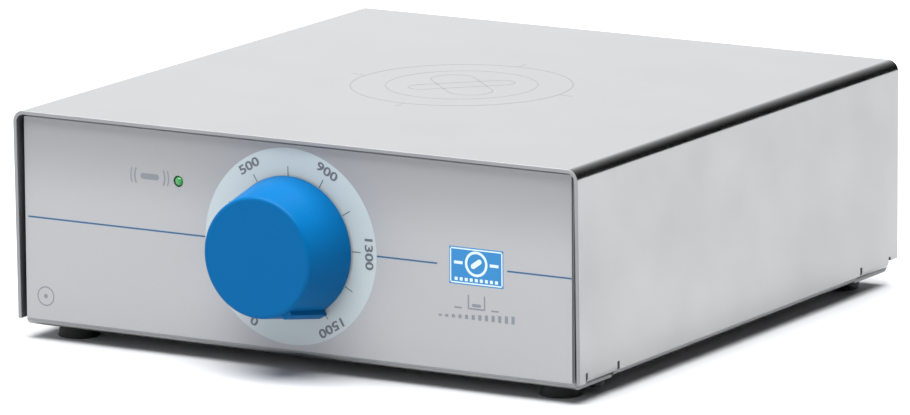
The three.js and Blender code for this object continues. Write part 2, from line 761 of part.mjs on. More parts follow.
// A finned extrusion with its back against the board.
function makeHeatSink() {
  const back = boardBack + FIT;
  const low = boardLow + HEAT_SINK_FOOT;
  const left = HEAT_SINK_X - HEAT_SINK_WIDTH / 2;
  const pitch = (HEAT_SINK_WIDTH - FIN_SHEET) / (HEAT_SINK_FINS - 1);
  const points = [[left, back], [left + HEAT_SINK_WIDTH, back]];
  for (let i = HEAT_SINK_FINS - 1; i >= 0; i -= 1) {
    const fin = left + i * pitch;
    points.push([fin + FIN_SHEET, back + HEAT_SINK_DEPTH]);
    points.push([fin, back + HEAT_SINK_DEPTH]);
    if (i > 0) {
      points.push([fin, back + 2 * FIN_SHEET]);
      points.push([fin - pitch + FIN_SHEET, back + 2 * FIN_SHEET]);
    }
  }
  return alongZ(outline(points), [low, boardHigh - HEAT_SINK_HEAD]);
}

const capacitorZ = boardLow + CAPACITOR_RADIUS + CAPACITOR_RISE;
const terminalBack = boardBack + FIT;
const terminalTop = boardHigh - TERMINAL_DROP;
add('control_board', makeBoard(), BOARD_GREEN);
for (const [side, x, z] of standoffs) {
  add(`standoff_${side}`, makeStandoff(x, z), BRASS);
  addScrew(`board_screw_${side}`, M3, BOARD_SHEET + FIT + BOARD_SCREW_REACH, 'back',
    [x, boardBack + FIT, z]);
}
add('heat_sink', makeHeatSink(), BLACK_ALUMINIUM);
add('capacitor', rodY(CAPACITOR_RADIUS, CAPACITOR_X,
  [boardBack + FIT, boardBack + FIT + CAPACITOR_LENGTH], capacitorZ), BLACK_PLASTIC);
add('terminal_block', block([TERMINAL_X - TERMINAL_WIDTH / 2, TERMINAL_X + TERMINAL_WIDTH / 2],
  [terminalBack, terminalBack + TERMINAL_DEPTH], [terminalTop - TERMINAL_HEIGHT, terminalTop]),
WHITE_NYLON);

// ---------------------------------------------------------------- motor and magnet rotor

// A hat-shaped bridge: a flat top, two legs, and feet turned out on the chassis floor.
function makeBracket() {
  const inner = BRACKET_BEND - BRACKET_SHEET;
  const half = BRACKET_HALF;
  const toe = half + BRACKET_FOOT;
  const height = bracketTop - bracketFloor;
  const shape = new THREE.Shape();
  shape.moveTo(-toe, 0);
  shape.lineTo(-half + BRACKET_SHEET, 0);
  shape.lineTo(-half + BRACKET_SHEET, height - BRACKET_BEND);
  shape.absarc(-half + BRACKET_BEND, height - BRACKET_BEND, inner, Math.PI, 0.5 * Math.PI, true);
  shape.lineTo(half - BRACKET_BEND, height - BRACKET_SHEET);
  shape.absarc(half - BRACKET_BEND, height - BRACKET_BEND, inner, 0.5 * Math.PI, 0, true);
  shape.lineTo(half - BRACKET_SHEET, 0);
  shape.lineTo(toe, 0);
  shape.lineTo(toe, BRACKET_SHEET);
  shape.lineTo(half, BRACKET_SHEET);
  shape.lineTo(half, height - BRACKET_BEND);
  shape.absarc(half - BRACKET_BEND, height - BRACKET_BEND, BRACKET_BEND, 0, 0.5 * Math.PI, false);
  shape.lineTo(-half + BRACKET_BEND, height);
  shape.absarc(-half + BRACKET_BEND, height - BRACKET_BEND, BRACKET_BEND, 0.5 * Math.PI, Math.PI,
    false);
  shape.lineTo(-half, BRACKET_SHEET);
  shape.lineTo(-toe, BRACKET_SHEET);
  shape.closePath();
  const bridge = alongY(shape, [-BRACKET_DEPTH / 2, BRACKET_DEPTH / 2]).translate(0, 0, bracketFloor);
  const top = [bracketLow - FIT, bracketTop + FIT];
  const tools = [rodZ(MOTOR_BOSS_RADIUS + FIT, 0, 0, top)];
  for (const [, side] of SIDES) {
    tools.push(rodZ(M3.shank + FIT, side * MOTOR_SCREW_ORBIT, 0, top, SMALL));
    tools.push(rodZ(M4.shank + FIT, side * BRACKET_SCREW_OFFSET, 0,
      [bracketFloor - FIT, bracketFloor + BRACKET_SHEET + FIT], SMALL));
  }
  return cut(bridge, ...tools);
}

function makeMotorBody() {
  const radius = MOTOR_RADIUS;
  const can = turned([
    [0, motorLow],
    [radius - MOTOR_CHAMFER, motorLow],
    [radius, motorLow + MOTOR_CHAMFER],
    [radius, motorTop - MOTOR_CHAMFER / 2],
    [radius - MOTOR_CHAMFER / 2, motorTop],
    [MOTOR_BOSS_RADIUS, motorTop],
    [MOTOR_BOSS_RADIUS, motorTop + MOTOR_BOSS_HEIGHT],
    [0, motorTop + MOTOR_BOSS_HEIGHT],
  ]);
  const tools = [rodZ(MOTOR_SHAFT_RADIUS + RUNNING, 0, 0,
    [motorTop - MOTOR_SHAFT_BURIED - FIT, motorTop + MOTOR_BOSS_HEIGHT + FIT])];
  for (const [, side] of SIDES) {
    tools.push(rodZ(M3.shank + FIT, side * MOTOR_SCREW_ORBIT, 0,
      [motorTop - MOTOR_SCREW_BORE, motorTop + FIT], SMALL));
  }
  return cut(can, ...tools);
}

function makeMotorShaft() {
  return cut(rodZ(MOTOR_SHAFT_RADIUS, 0, 0, [motorTop - MOTOR_SHAFT_BURIED, keeperTop]),
    rodZ(M3.shank + FIT, 0, 0,
      [keeperTop - HUB_SCREW_LENGTH - OVERCUT, keeperTop + OVERCUT], SMALL));
}

// A flat steel bar with round ends that closes the magnets' field underneath.
function makeKeeper() {
  const bar = alongZ(roundedRectangle(KEEPER_LENGTH, KEEPER_WIDTH, KEEPER_WIDTH / 2 - SLIVER),
    [keeperLow, keeperTop]);
  return cut(bar, rodZ(MOTOR_SHAFT_RADIUS + FIT, 0, 0, [keeperLow - OVERCUT, keeperTop + OVERCUT]));
}

add('motor_bracket', makeBracket(), ZINC_STEEL);
add('motor_body', makeMotorBody(), ZINC_STEEL);
for (const [side, sign] of SIDES) {
  addScrew(`bracket_screw_${side}`, M4, BRACKET_SHEET + SHEET + FIT, 'up',
    [sign * BRACKET_SCREW_OFFSET, 0, bracketFloor + BRACKET_SHEET + FIT]);
  addScrew(`motor_screw_${side}`, M3, BRACKET_SHEET + MOTOR_SCREW_REACH, 'up',
    [sign * MOTOR_SCREW_ORBIT, 0, bracketTop + FIT]);
  add(sign < 0 ? 'magnet_south' : 'magnet_north',
    rodZ(MAGNET_RADIUS, sign * MAGNET_ORBIT, 0, [magnetLow, magnetTop]), MAGNET);
}
add('motor_shaft', makeMotorShaft(), SCREW_STEEL);
add('rotor_hub', ring(MOTOR_SHAFT_RADIUS + RUNNING, HUB_RADIUS, [hubLow, hubTop]), ALUMINIUM);
add('keeper_bar', makeKeeper(), ZINC_STEEL);
addScrew('hub_screw', { ...M3, head: MOTOR_SHAFT_RADIUS + HUB_SCREW_BRIM }, HUB_SCREW_LENGTH, 'up',
  [0, 0, keeperTop + FIT]);

// ---------------------------------------------------------------- transformer

// Laminated core: three upright legs between two yokes, with the winding round the middle leg.
function makeCore() {
  const halfCore = CORE_WIDTH / 2;
  const depth = [coreY - CORE_DEPTH / 2, coreY + CORE_DEPTH / 2];
  const beyond = [depth[0] - OVERCUT, depth[1] + OVERCUT];
  const stack = block([coreX - halfCore, coreX + halfCore], depth, [coreLow, coreTop]);
  const tools = [];
  for (const [, side] of SIDES) {
    const inner = coreX + side * CORE_LEG / 2;
    const outer = inner + side * CORE_WINDOW;
    tools.push(block([Math.min(inner, outer), Math.max(inner, outer)], beyond,
      [coreLow + CORE_YOKE, coreTop - CORE_YOKE]));
    tools.push(rodZ(M4.shank + FIT, coreX + side * coreScrewX, coreY,
      [coreLow - OVERCUT, coreTop + OVERCUT], SMALL));
  }
  return cut(stack, ...tools);
}

function makeWinding() {
  const half = CORE_LEG / 2 + CORE_WINDOW - FIT;
  const depth = CORE_DEPTH / 2 + WINDING_BULGE;
  const height = [coreLow + CORE_YOKE + FIT, coreTop - CORE_YOKE - FIT];
  const coil = alongZ(roundedRectangle(2 * half, 2 * depth, WINDING_CORNER, coreX, coreY), height);
  const leg = block([coreX - CORE_LEG / 2 - FIT, coreX + CORE_LEG / 2 + FIT],
    [coreY - CORE_DEPTH / 2 - FIT, coreY + CORE_DEPTH / 2 + FIT], [0, CASE_HEIGHT]);
  return cut(coil, leg);
}

add('transformer_core', makeCore(), LAMINATION);
add('transformer_winding', makeWinding(), WINDING_TAPE);
for (const [side, sign] of SIDES) {
  addScrew(`transformer_screw_${side}`, M4, CORE_HEIGHT + FIT + SHEET, 'up',
    [coreX + sign * coreScrewX, coreY, coreTop + FIT]);
}

// ---------------------------------------------------------------- mains inlet, fuse and switch

function socketOutline() {
  const right = SOCKET_WIDTH / 2;
  const top = SOCKET_HEIGHT / 2;
  return outline([
    [-right, -top],
    [right, -top],
    [right, top - SOCKET_CHAMFER],
    [right - SOCKET_CHAMFER, top],
    [-right + SOCKET_CHAMFER, top],
    [-right, top - SOCKET_CHAMFER],
  ].map(([x, z]) => [x + inletX, z + socketZ]));
}

const pins = [
  ['line', -PIN_PITCH, 0],
  ['neutral', PIN_PITCH, 0],
  ['earth', 0, EARTH_RISE],
];

function pinBlock([, x, z], grow, yRange) {
  const half = PIN_WIDTH / 2 + grow;
  const tall = PIN_HEIGHT / 2 + grow;
  const middle = socketZ - EARTH_RISE / 2 + z;
  return block([inletX + x - half, inletX + x + half], yRange, [middle - tall, middle + tall]);
}

function makeInletBody() {
  const flange = alongY(roundedRectangle(INLET_FLANGE_WIDTH, INLET_FLANGE_HEIGHT, INLET_CORNER,
    inletX, inletZ), [inletFace - INLET_FLANGE, inletFace]);
  const body = block([inletX - inletBodyHalfWidth, inletX + inletBodyHalfWidth],
    [inletRear, inletFace - OVERCUT], [inletZ - inletBodyHalfHeight, inletZ + inletBodyHalfHeight]);
  const tools = [
    alongY(socketOutline(), [inletFace - SOCKET_DEPTH, inletFace + OVERCUT]),
    block([inletX - DRAWER_WIDTH / 2, inletX + DRAWER_WIDTH / 2],
      [inletFace - DRAWER_DEPTH - FIT, inletFace + OVERCUT],
      [drawerZ - DRAWER_HEIGHT / 2, drawerZ + DRAWER_HEIGHT / 2]),
    ...pins.map((pin) => pinBlock(pin, FIT,
      [inletRear - OVERCUT, inletFace - SOCKET_DEPTH + OVERCUT])),
  ];
  for (const [, side] of SIDES) {
    tools.push(rodY(M3.shank + FIT, inletX + side * INLET_SCREW_OFFSET,
      [inletFace - INLET_FLANGE - OVERCUT, inletFace + OVERCUT], inletZ, SMALL));
  }
  return cut(join(flange, body), ...tools);
}

const fuseY = inletFace - DRAWER_DEPTH + FUSE_RADIUS + FUSE_SETBACK;

// The drawer is a tray, open at the top, that carries one glass fuse across its inner end.
function makeDrawer() {
  const half = DRAWER_WIDTH / 2 - FIT;
  const tall = DRAWER_HEIGHT / 2 - FIT;
  const tray = block([inletX - half, inletX + half],
    [inletFace - DRAWER_DEPTH, inletFace + DRAWER_LIP], [drawerZ - tall, drawerZ + tall]);
  const pocket = block(
    [inletX - FUSE_LENGTH / 2 - FIT, inletX + FUSE_LENGTH / 2 + FIT],
    [fuseY - FUSE_RADIUS - FIT, fuseY + FUSE_RADIUS + FIT],
    [drawerZ - FUSE_RADIUS - FIT, drawerZ + tall + OVERCUT],
  );
  return cut(tray, pocket);
}

const switchShellX = SWITCH_WIDTH / 2 - SWITCH_SHELL;
const switchShellZ = SWITCH_HEIGHT / 2 - SWITCH_SHELL;
const rockerHalf = switchShellX - SWITCH_SHELL;

function makeSwitchBody() {
  const bezelBack = panelFace + GLUE;
  const bezel = alongY(roundedRectangle(SWITCH_WIDTH, SWITCH_HEIGHT, CUTOUT_CORNER, switchX,
    inletZ), [bezelBack, bezelBack + SWITCH_BEZEL]);
  const shell = block([switchX - switchShellX, switchX + switchShellX],
    [bezelBack - SWITCH_DEPTH, bezelBack + OVERCUT],
    [inletZ - switchShellZ, inletZ + switchShellZ]);
  const well = rockerHalf + FIT;
  const radius = ROCKER_RADIUS + 2 * FIT;
  const span = [switchX - well, switchX + well];
  return cut(join(bezel, shell),
    rodX(radius, span, pivotY, inletZ),
    block(span, [pivotY, bezelBack + SWITCH_BEZEL + OVERCUT],
      [inletZ - radius, inletZ + radius]));
}

// The rocker's back is round about its pivot; its face dips in the middle.
function makeRocker() {
  const radius = ROCKER_RADIUS;
  const shape = new THREE.Shape();
  shape.moveTo(0, radius);
  shape.absarc(0, 0, radius, 0.5 * Math.PI, 1.5 * Math.PI, false);
  shape.lineTo(ROCKER_END, -radius + ROCKER_TIP);
  shape.lineTo(ROCKER_DIP, 0);
  shape.lineTo(ROCKER_END, radius - ROCKER_TIP);
  shape.closePath();
  return alongX(shape, [-rockerHalf, rockerHalf]);
}

add('inlet_body', makeInletBody(), BLACK_PLASTIC);
for (const pin of pins) {
  const tip = inletFace - PIN_SETBACK;
  add(`inlet_pin_${pin[0]}`, pinBlock(pin, 0, [tip - PIN_LENGTH, tip]), BRASS);
}
for (const [side, sign] of SIDES) {
  addScrew(`inlet_screw_${side}`, M3, INLET_FLANGE + SHEET + SCREW_REACH, 'back',
    [inletX + sign * INLET_SCREW_OFFSET, inletFace + FIT, inletZ]);
}
add('fuse_drawer', makeDrawer(), BLACK_PLASTIC);
add('fuse', rodX(FUSE_RADIUS, [inletX - FUSE_LENGTH / 2, inletX + FUSE_LENGTH / 2], fuseY, drawerZ,
  SMALL), GLASS);
add('switch_body', makeSwitchBody(), BLACK_PLASTIC);
const rocker = add('switch_rocker', makeRocker(), BLACK_PLASTIC);
rocker.position.set(switchX, pivotY, inletZ);
rocker.rotation.x = THREE.MathUtils.degToRad(ROCKER_THROW);
add('rating_plate', block([plateX - PLATE_WIDTH / 2, plateX + PLATE_WIDTH / 2],
  [panelFace + GLUE, panelFace + GLUE + PLATE_SHEET],
  [inletZ - PLATE_HEIGHT / 2, inletZ + PLATE_HEIGHT / 2]), FOIL);

// ---------------------------------------------------------------- wiring

// A sleeved lead along a smooth curve through its points.
function makeLead(points) {
  const path = new THREE.CatmullRomCurve3(points.map(([x, y, z]) => new THREE.Vector3(x, y, z)));
  const section = new THREE.Shape();
  section.absarc(0, 0, LEAD_RADIUS, 0, 2 * Math.PI, false);
  return new THREE.ExtrudeGeometry(section, {
    steps: LEAD_STEPS,
    curveSegments: LEAD_ARC_STEPS,
    bevelEnabled: false,
    extrudePath: path,
  });
}

const terminalRear = terminalBack + TERMINAL_DEPTH + LEAD_GAP;
const terminalMiddle = terminalTop - TERMINAL_HEIGHT / 2;
const pinRear = inletFace - PIN_SETBACK - PIN_LENGTH - LEAD_GAP;
const switchRear = panelFace + GLUE - SWITCH_DEPTH - LEAD_GAP;
const windingFront = coreY - CORE_DEPTH / 2 - WINDING_BULGE - LEAD_GAP;
const windingMiddle = (coreLow + coreTop) / 2;
const leadFloor = floorTop + LEAD_RADIUS + LEAD_RISE;
const leadWall = halfWidth - SHEET - SUPPLY_LEAD_WALL_GAP;

// The turn a lead makes before it runs straight into its pole of the terminal block.
function terminalEnd([x, y, z], pole) {
  return [
    [TERMINAL_X + x, terminalRear + y, terminalMiddle + z],
    [TERMINAL_X + pole, terminalRear + LEAD_STRAIGHT, terminalMiddle],
    [TERMINAL_X + pole, terminalRear, terminalMiddle],
  ];
}

add('motor_lead', makeLead([
  [0, -MOTOR_RADIUS - LEAD_GAP, motorLow + LEAD_RISE],
  [0, -MOTOR_RADIUS - LEAD_STRAIGHT, motorLow + LEAD_RISE],
  ...terminalEnd(MOTOR_LEAD_TURN, MOTOR_POLE),
]), SLEEVE);
add('mains_lead', makeLead([
  [inletX, pinRear, socketZ],
  [inletX, pinRear - LEAD_STRAIGHT, socketZ],
  [(inletX + switchX) / 2, pinRear - MAINS_LEAD_TURN[0], socketZ + MAINS_LEAD_TURN[1]],
  [switchX, switchRear - LEAD_STRAIGHT, inletZ],
  [switchX, switchRear, inletZ],
]), SLEEVE);
add('supply_lead', makeLead([
  [coreX, windingFront, windingMiddle],
  [coreX, windingFront - LEAD_STRAIGHT, windingMiddle],
  [leadWall, 0, leadFloor],
  [leadWall, terminalRear + SUPPLY_LEAD_FRONT_GAP, leadFloor],
  ...terminalEnd(SUPPLY_LEAD_TURN, SUPPLY_POLE),
]), SLEEVE);

// ---------------------------------------------------------------- placing the origin

const stirrer = new THREE.Group();
const bounds = new THREE.Box3().setFromObject(housing);
const middle = bounds.getCenter(new THREE.Vector3());
housing.position.set(-middle.x, -middle.y, -bounds.min.z);
stirrer.add(housing);

export default stirrer;
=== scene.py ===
# %% [markdown]
# # A magnetic stirrer in folded stainless steel
#
# This lesson dresses one laboratory magnetic stirrer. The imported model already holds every
# part at its true size and place, so nothing here is measured twice: a piece reads the box
# of the part it belongs to. What is added is the look, which is finer bends, rounded edges,
# printed marks, screws with real recesses, and a finish for each material.

# %% Load the frame
import math

import bmesh
import bpy
from mathutils import Matrix, Vector


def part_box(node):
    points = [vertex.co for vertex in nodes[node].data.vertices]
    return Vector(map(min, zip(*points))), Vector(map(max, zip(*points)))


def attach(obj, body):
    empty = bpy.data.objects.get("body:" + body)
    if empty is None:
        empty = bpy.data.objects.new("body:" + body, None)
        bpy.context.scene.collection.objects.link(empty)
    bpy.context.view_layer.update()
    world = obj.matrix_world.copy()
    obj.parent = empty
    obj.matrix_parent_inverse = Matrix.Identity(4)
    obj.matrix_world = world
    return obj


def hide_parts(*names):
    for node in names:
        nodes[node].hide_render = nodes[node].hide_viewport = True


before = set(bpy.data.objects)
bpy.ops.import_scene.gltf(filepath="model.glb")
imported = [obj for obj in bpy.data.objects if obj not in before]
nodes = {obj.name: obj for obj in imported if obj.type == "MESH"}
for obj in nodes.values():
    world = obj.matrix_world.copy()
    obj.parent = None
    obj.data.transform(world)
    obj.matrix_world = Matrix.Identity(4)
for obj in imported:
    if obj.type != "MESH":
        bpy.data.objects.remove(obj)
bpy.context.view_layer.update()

MM = 0.001

# %% [markdown]
# ## Colours and shader nodes
#
# Paint charts and screens give colours as sRGB hex, but the shader adds light in linear
# values, so one function turns the first into the second. A material is a small tree of
# nodes. Building each tree by hand takes four lines a node, so one function adds any node
# with its settings and the links that feed it.

# %% Colours
def linear(hex_code):
    """sRGB hex such as '#8090A0' as a linear RGBA colour."""
    channels = [int(hex_code[i:i + 2], 16) / 255 for i in (1, 3, 5)]
    curve = [c / 12.92 if c <= 0.04045 else ((c + 0.055) / 1.055) ** 2.4 for c in channels]
    return (*curve, 1.0)


print("mid grey in linear light:", round(linear("#808080")[0], 3))


# %% Nodes
def add_node(tree, kind, settings=None, links=None):
    """Adds a node. Settings fill its properties and sockets, links feed sockets from others."""
    node = tree.nodes.new(kind)
    for key, value in (settings or {}).items():
        if isinstance(key, int) or key in node.inputs:
            node.inputs[key].default_value = value
        else:
            setattr(node, key, value)
    for key, source in (links or {}).items():
        tree.links.new(source, node.inputs[key])
    return node


def start_finish(name, **sockets):
    """A new material, with fixed numbers and colours set on its shader's own sockets."""
    material = bpy.data.materials.new(name)
    material.use_nodes = True
    shader = material.node_tree.nodes["Principled BSDF"]
    for socket, value in sockets.items():
        shader.inputs[socket.replace("_", " ")].default_value = value
    return material, material.node_tree, shader


# %% [markdown]
# ## A grained finish
#
# No real surface is one flat colour. Moulded plastic, rubber, plating and paint all show a
# fine grain, where the tone, the gloss and the height vary a little together. A noise
# pattern on object coordinates gives all three, and its scale is one over the grain's real
# size, because object coordinates are metres. A stretch longer than 1 draws the grain out
# along that axis, as rolling or brushing does.

# %% Grained finish
def grained(name, dark, light, grain, rough, relief, stretch=(1, 1, 1), **sockets):
    """A finish whose tone, gloss and height vary with a grain of the given size."""
    material, tree, shader = start_finish(name, **sockets)
    place = add_node(tree, "ShaderNodeTexCoord")
    drawn = add_node(tree, "ShaderNodeMapping", {"Scale": [1 / s for s in stretch]},
                     {"Vector": place.outputs["Object"]})
    noise = add_node(tree, "ShaderNodeTexNoise",
                     {"Scale": 1 / grain, "Detail": 4.0, "Roughness": 0.6},
                     {"Vector": drawn.outputs["Vector"]})
    spread = add_node(tree, "ShaderNodeMapRange", {"From Min": 0.3, "From Max": 0.7},
                      {"Value": noise.outputs["Fac"]})
    tone = add_node(tree, "ShaderNodeMix", {"data_type": "RGBA", 6: linear(dark), 7: linear(light)},
                    {0: spread.outputs["Result"]})
    gloss = add_node(tree, "ShaderNodeMapRange", {"To Min": rough[0], "To Max": rough[1]},
                     {"Value": spread.outputs["Result"]})
    bump = add_node(tree, "ShaderNodeBump", {"Strength": 1.0, "Distance": relief},
                    {"Height": noise.outputs["Fac"]})
    tree.links.new(tone.outputs[2], shader.inputs["Base Color"])
    tree.links.new(gloss.outputs["Result"], shader.inputs["Roughness"])
    tree.links.new(bump.outputs["Normal"], shader.inputs["Normal"])
    return material


print("grained finish ready")

# %% [markdown]
# ## Stainless sheet
#
# The case is cold-rolled stainless sheet with the dull 2B mill finish. It mirrors its
# surroundings softly, with two patterns of its own: a rolling grain drawn out from front to
# back, and broad clouds, a few centimetres across, where handling and rolling left the
# gloss uneven. Both are noise on object coordinates, so they run on over the bends as they
# do on one folded sheet. The grain is really about 0.1 mm wide, and is drawn at 0.35 mm so
# that it shows.

# %% Stainless steel, 2B mill finish
def make_stainless(name, dark, light, rough):
    material, tree, shader = start_finish(name, Metallic=1.0)
    place = add_node(tree, "ShaderNodeTexCoord")
    drawn = add_node(tree, "ShaderNodeMapping", {"Scale": (1, 1 / 40, 1)},
                     {"Vector": place.outputs["Object"]})
    grain = add_node(tree, "ShaderNodeTexNoise", {"Scale": 1 / (0.35 * MM), "Detail": 2.0},
                     {"Vector": drawn.outputs["Vector"]})
    cloud = add_node(tree, "ShaderNodeTexNoise", {"Scale": 1 / (34 * MM), "Detail": 3.0},
                     {"Vector": place.outputs["Object"]})
    broad = add_node(tree, "ShaderNodeMapRange", {"From Min": 0.3, "From Max": 0.7},
                     {"Value": cloud.outputs["Fac"]})
    tone = add_node(tree, "ShaderNodeMix", {"data_type": "RGBA", 6: linear(dark), 7: linear(light)},
                    {0: broad.outputs["Result"]})
    both = add_node(tree, "ShaderNodeMath", {"operation": "ADD"},
                    {0: grain.outputs["Fac"], 1: broad.outputs["Result"]})
    gloss = add_node(tree, "ShaderNodeMapRange",
                     {"From Max": 2.0, "To Min": rough[0], "To Max": rough[1]},
                     {"Value": both.outputs["Value"]})
    bump = add_node(tree, "ShaderNodeBump", {"Strength": 0.3, "Distance": 0.002 * MM},
                    {"Height": grain.outputs["Fac"]})
    tree.links.new(tone.outputs[2], shader.inputs["Base Color"])
    tree.links.new(gloss.outputs["Result"], shader.inputs["Roughness"])
    tree.links.new(bump.outputs["Normal"], shader.inputs["Normal"])
    return material


STAINLESS = make_stainless("stainless_2b", "#9A9A99", "#A5A5A4", (0.16, 0.24))
# A laser mark is a shallow oxide on the same steel: darker, and dull, so it mirrors nothing.
ETCHED = make_stainless("stainless_laser_mark", "#909192", "#98999A", (0.22, 0.3))
# Sheared edges are torn, and the inner sides and the panel under the overlay were left dull.
SHEARED = make_stainless("stainless_sheared", "#8D8E90", "#98999B", (0.5, 0.62))
print("finishes:", STAINLESS.name, ETCHED.name, SHEARED.name)

# %% [markdown]
# ## The other finishes
#
# Each finish below is named for its material and how it was made. The comment says what
# that gives the eye. Metals keep the default index of refraction; plastics are near 1.5.

# %% Finishes seen from outside
# Polycarbonate film, back-printed light grey, with a velvet face: broad soft highlights.
FILM = grained("polycarbonate_film", "#9A9B9D", "#9FA0A2", 0.22 * MM, (0.40, 0.48), 0.003 * MM)
# Screen-printed inks: thin, matt, a little uneven where the mesh left them.
PALE_INK = grained("screen_ink_pale", "#A9B3B5", "#AFB9BB", 0.3 * MM, (0.45, 0.52), 0.002 * MM)
GREY_INK = grained("screen_ink_grey", "#555960", "#5F636A", 0.2 * MM, (0.5, 0.6), 0.002 * MM)
SOFT_INK = grained("screen_ink_soft_grey", "#6E7379", "#777C82", 0.2 * MM, (0.5, 0.6), 0.002 * MM)
BLUE_INK = grained("screen_ink_blue", "#0A4A72", "#10527B", 0.2 * MM, (0.45, 0.55), 0.002 * MM)
BADGE_INK = grained("screen_ink_badge", "#0F6FA8", "#1776B0", 0.2 * MM, (0.45, 0.55), 0.002 * MM)
WHITE_INK = grained("screen_ink_white", "#BCD0D8", "#C8DAE0", 0.2 * MM, (0.5, 0.6), 0.002 * MM)
# ABS, injection moulded in a spark-eroded tool: satin, with a grain finer than sand.
BLUE_ABS = grained("abs_satin_blue", "#005286", "#00588E", 0.25 * MM, (0.34, 0.42), 0.004 * MM,
                   IOR=1.53, Specular_IOR_Level=0.05)
# Natural rubber, compression moulded: matt black with a dusty bloom.
RUBBER = grained("rubber_black", "#101011", "#1B1B1C", 0.6 * MM, (0.7, 0.85), 0.02 * MM, IOR=1.52)
# Glass-filled nylon, moulded: dull black, the fibres mottle the skin.
BLACK_NYLON = grained("nylon_glass_filled", "#141516", "#202123", 0.4 * MM, (0.45, 0.58),
                      0.008 * MM, IOR=1.53)
# Stainless machine screws, cold headed: bright, with faint turning marks.
SCREW_STEEL = grained("screw_stainless", "#A9ABAD", "#BCBEC0", 0.3 * MM, (0.2, 0.32), 0.002 * MM,
                      Metallic=1.0)
# Screws under the case are black oxide, dark as painted shade, so they don't glint below the walls.
OXIDE_AND_SHADE_BLACK = grained("screw_oxide_and_shade_black", "#2A2B2D", "#343537", 0.3 * MM, (0.4, 0.52), 0.002 * MM,
                      Metallic=1.0)
# Bright nickel over brass, on the inlet's pins.
NICKEL = grained("nickel_plate", "#B9B3A6", "#C7C2B6", 0.5 * MM, (0.18, 0.28), 0.001 * MM,
                 Metallic=1.0)
# Self-adhesive aluminium foil for the rating plate: satin and slightly rolled.
FOIL = grained("aluminium_foil_satin", "#C2C4C6", "#CECFD1", 0.3 * MM, (0.3, 0.38), 0.002 * MM,
               (12, 1, 1), Metallic=1.0)
print("finishes so far:", len(bpy.data.materials))


# %% The overlay's painted shade, darker towards the top
def paint_shade_upwards(material, start, stop, share):
    """Painted shade: darkens a finish with height, from full tone at start to a share of it at
    stop.
    """
    tree = material.node_tree
    shader = tree.nodes["Principled BSDF"]
    tone = shader.inputs["Base Color"].links[0].from_socket
    place = add_node(tree, "ShaderNodeTexCoord")
    axes = add_node(tree, "ShaderNodeSeparateXYZ", links={"Vector": place.outputs["Object"]})
    level = add_node(tree, "ShaderNodeMapRange",
                     {"interpolation_type": "SMOOTHSTEP", "From Min": start, "From Max": stop,
                      "To Min": 1.0, "To Max": share}, {"Value": axes.outputs["Z"]})
    shaded_tone = add_node(tree, "ShaderNodeVectorMath", {"operation": "SCALE"},
                     {0: tone, "Scale": level.outputs["Result"]})
    tree.links.new(shaded_tone.outputs["Vector"], shader.inputs["Base Color"])


# Painted shade: the film darkens towards the top to stand in for the shade on the panel's upper
# part.
SHADE_START, SHADE_STOP, SHADE_SHARE = 42 * MM, 65 * MM, 0.76
paint_shade_upwards(FILM, SHADE_START, SHADE_STOP, SHADE_SHARE)
print("film fades to", SHADE_SHARE, "at", SHADE_STOP / MM, "mm up")

# %% Finishes found inside
# Zinc plate, passivated: a soft grey metal with a cloudy spangle.
ZINC = grained("zinc_plate", "#9DA1A6", "#B4B8BC", 3 * MM, (0.34, 0.46), 0.002 * MM, Metallic=1.0)
# Extruded aluminium, with drawing lines along its length.
ALUMINIUM = grained("aluminium_drawn", "#BEC1C4", "#CBCED0", 0.3 * MM, (0.3, 0.42), 0.002 * MM,
                    (1, 20, 1), Metallic=1.0)
# Black anodised aluminium on the heat sink: an oxide skin, so hardly metallic to look at.
BLACK_ANODISED = grained("aluminium_anodised_black", "#17191B", "#26292C", 0.5 * MM, (0.4, 0.5),
                         0.004 * MM, Metallic=0.6)
# Free-cutting brass on the standoffs and the nut.
BRASS = grained("brass_turned", "#B8954E", "#C9A85F", 0.4 * MM, (0.24, 0.34), 0.002 * MM,
                Metallic=1.0)
# Natural nylon: milky, slightly waxy.
WHITE_NYLON = grained("nylon_natural", "#DDDACF", "#E9E7DF", 0.5 * MM, (0.42, 0.52), 0.006 * MM,
                      Subsurface_Weight=0.05, IOR=1.53)
# Glass-epoxy board under green solder mask: glossy, the weave just shows.
BOARD = grained("glass_epoxy_green", "#17492F", "#1F5B3B", 1.2 * MM, (0.22, 0.32), 0.01 * MM,
                IOR=1.55)
# Silicone-rubber sleeving over the leads.
SLEEVE = grained("silicone_sleeve", "#222427", "#303338", 0.5 * MM, (0.5, 0.62), 0.01 * MM)
# Aluminium electrolytic can in its shrunk plastic jacket.
CAN_JACKET = grained("pvc_jacket_black", "#15171B", "#22252B", 0.8 * MM, (0.25, 0.35), 0.004 * MM)
# Neodymium magnets, nickel plated: dark and bright at once.
MAGNET = grained("magnet_nickel_dark", "#55575C", "#686B70", 0.6 * MM, (0.22, 0.34), 0.002 * MM,
                 Metallic=1.0)
print("finishes so far:", len(bpy.data.materials))

# %% [markdown]
# ## Finishes with a pattern of their own
#
# Four finishes are more than a grain. A transformer core is a stack of punched sheets, so
# its edges show fine lines; its winding is wrapped in yellow tape in turns; the fuse is
# clear glass; and the indicator's lens is tinted resin with a lamp behind it.

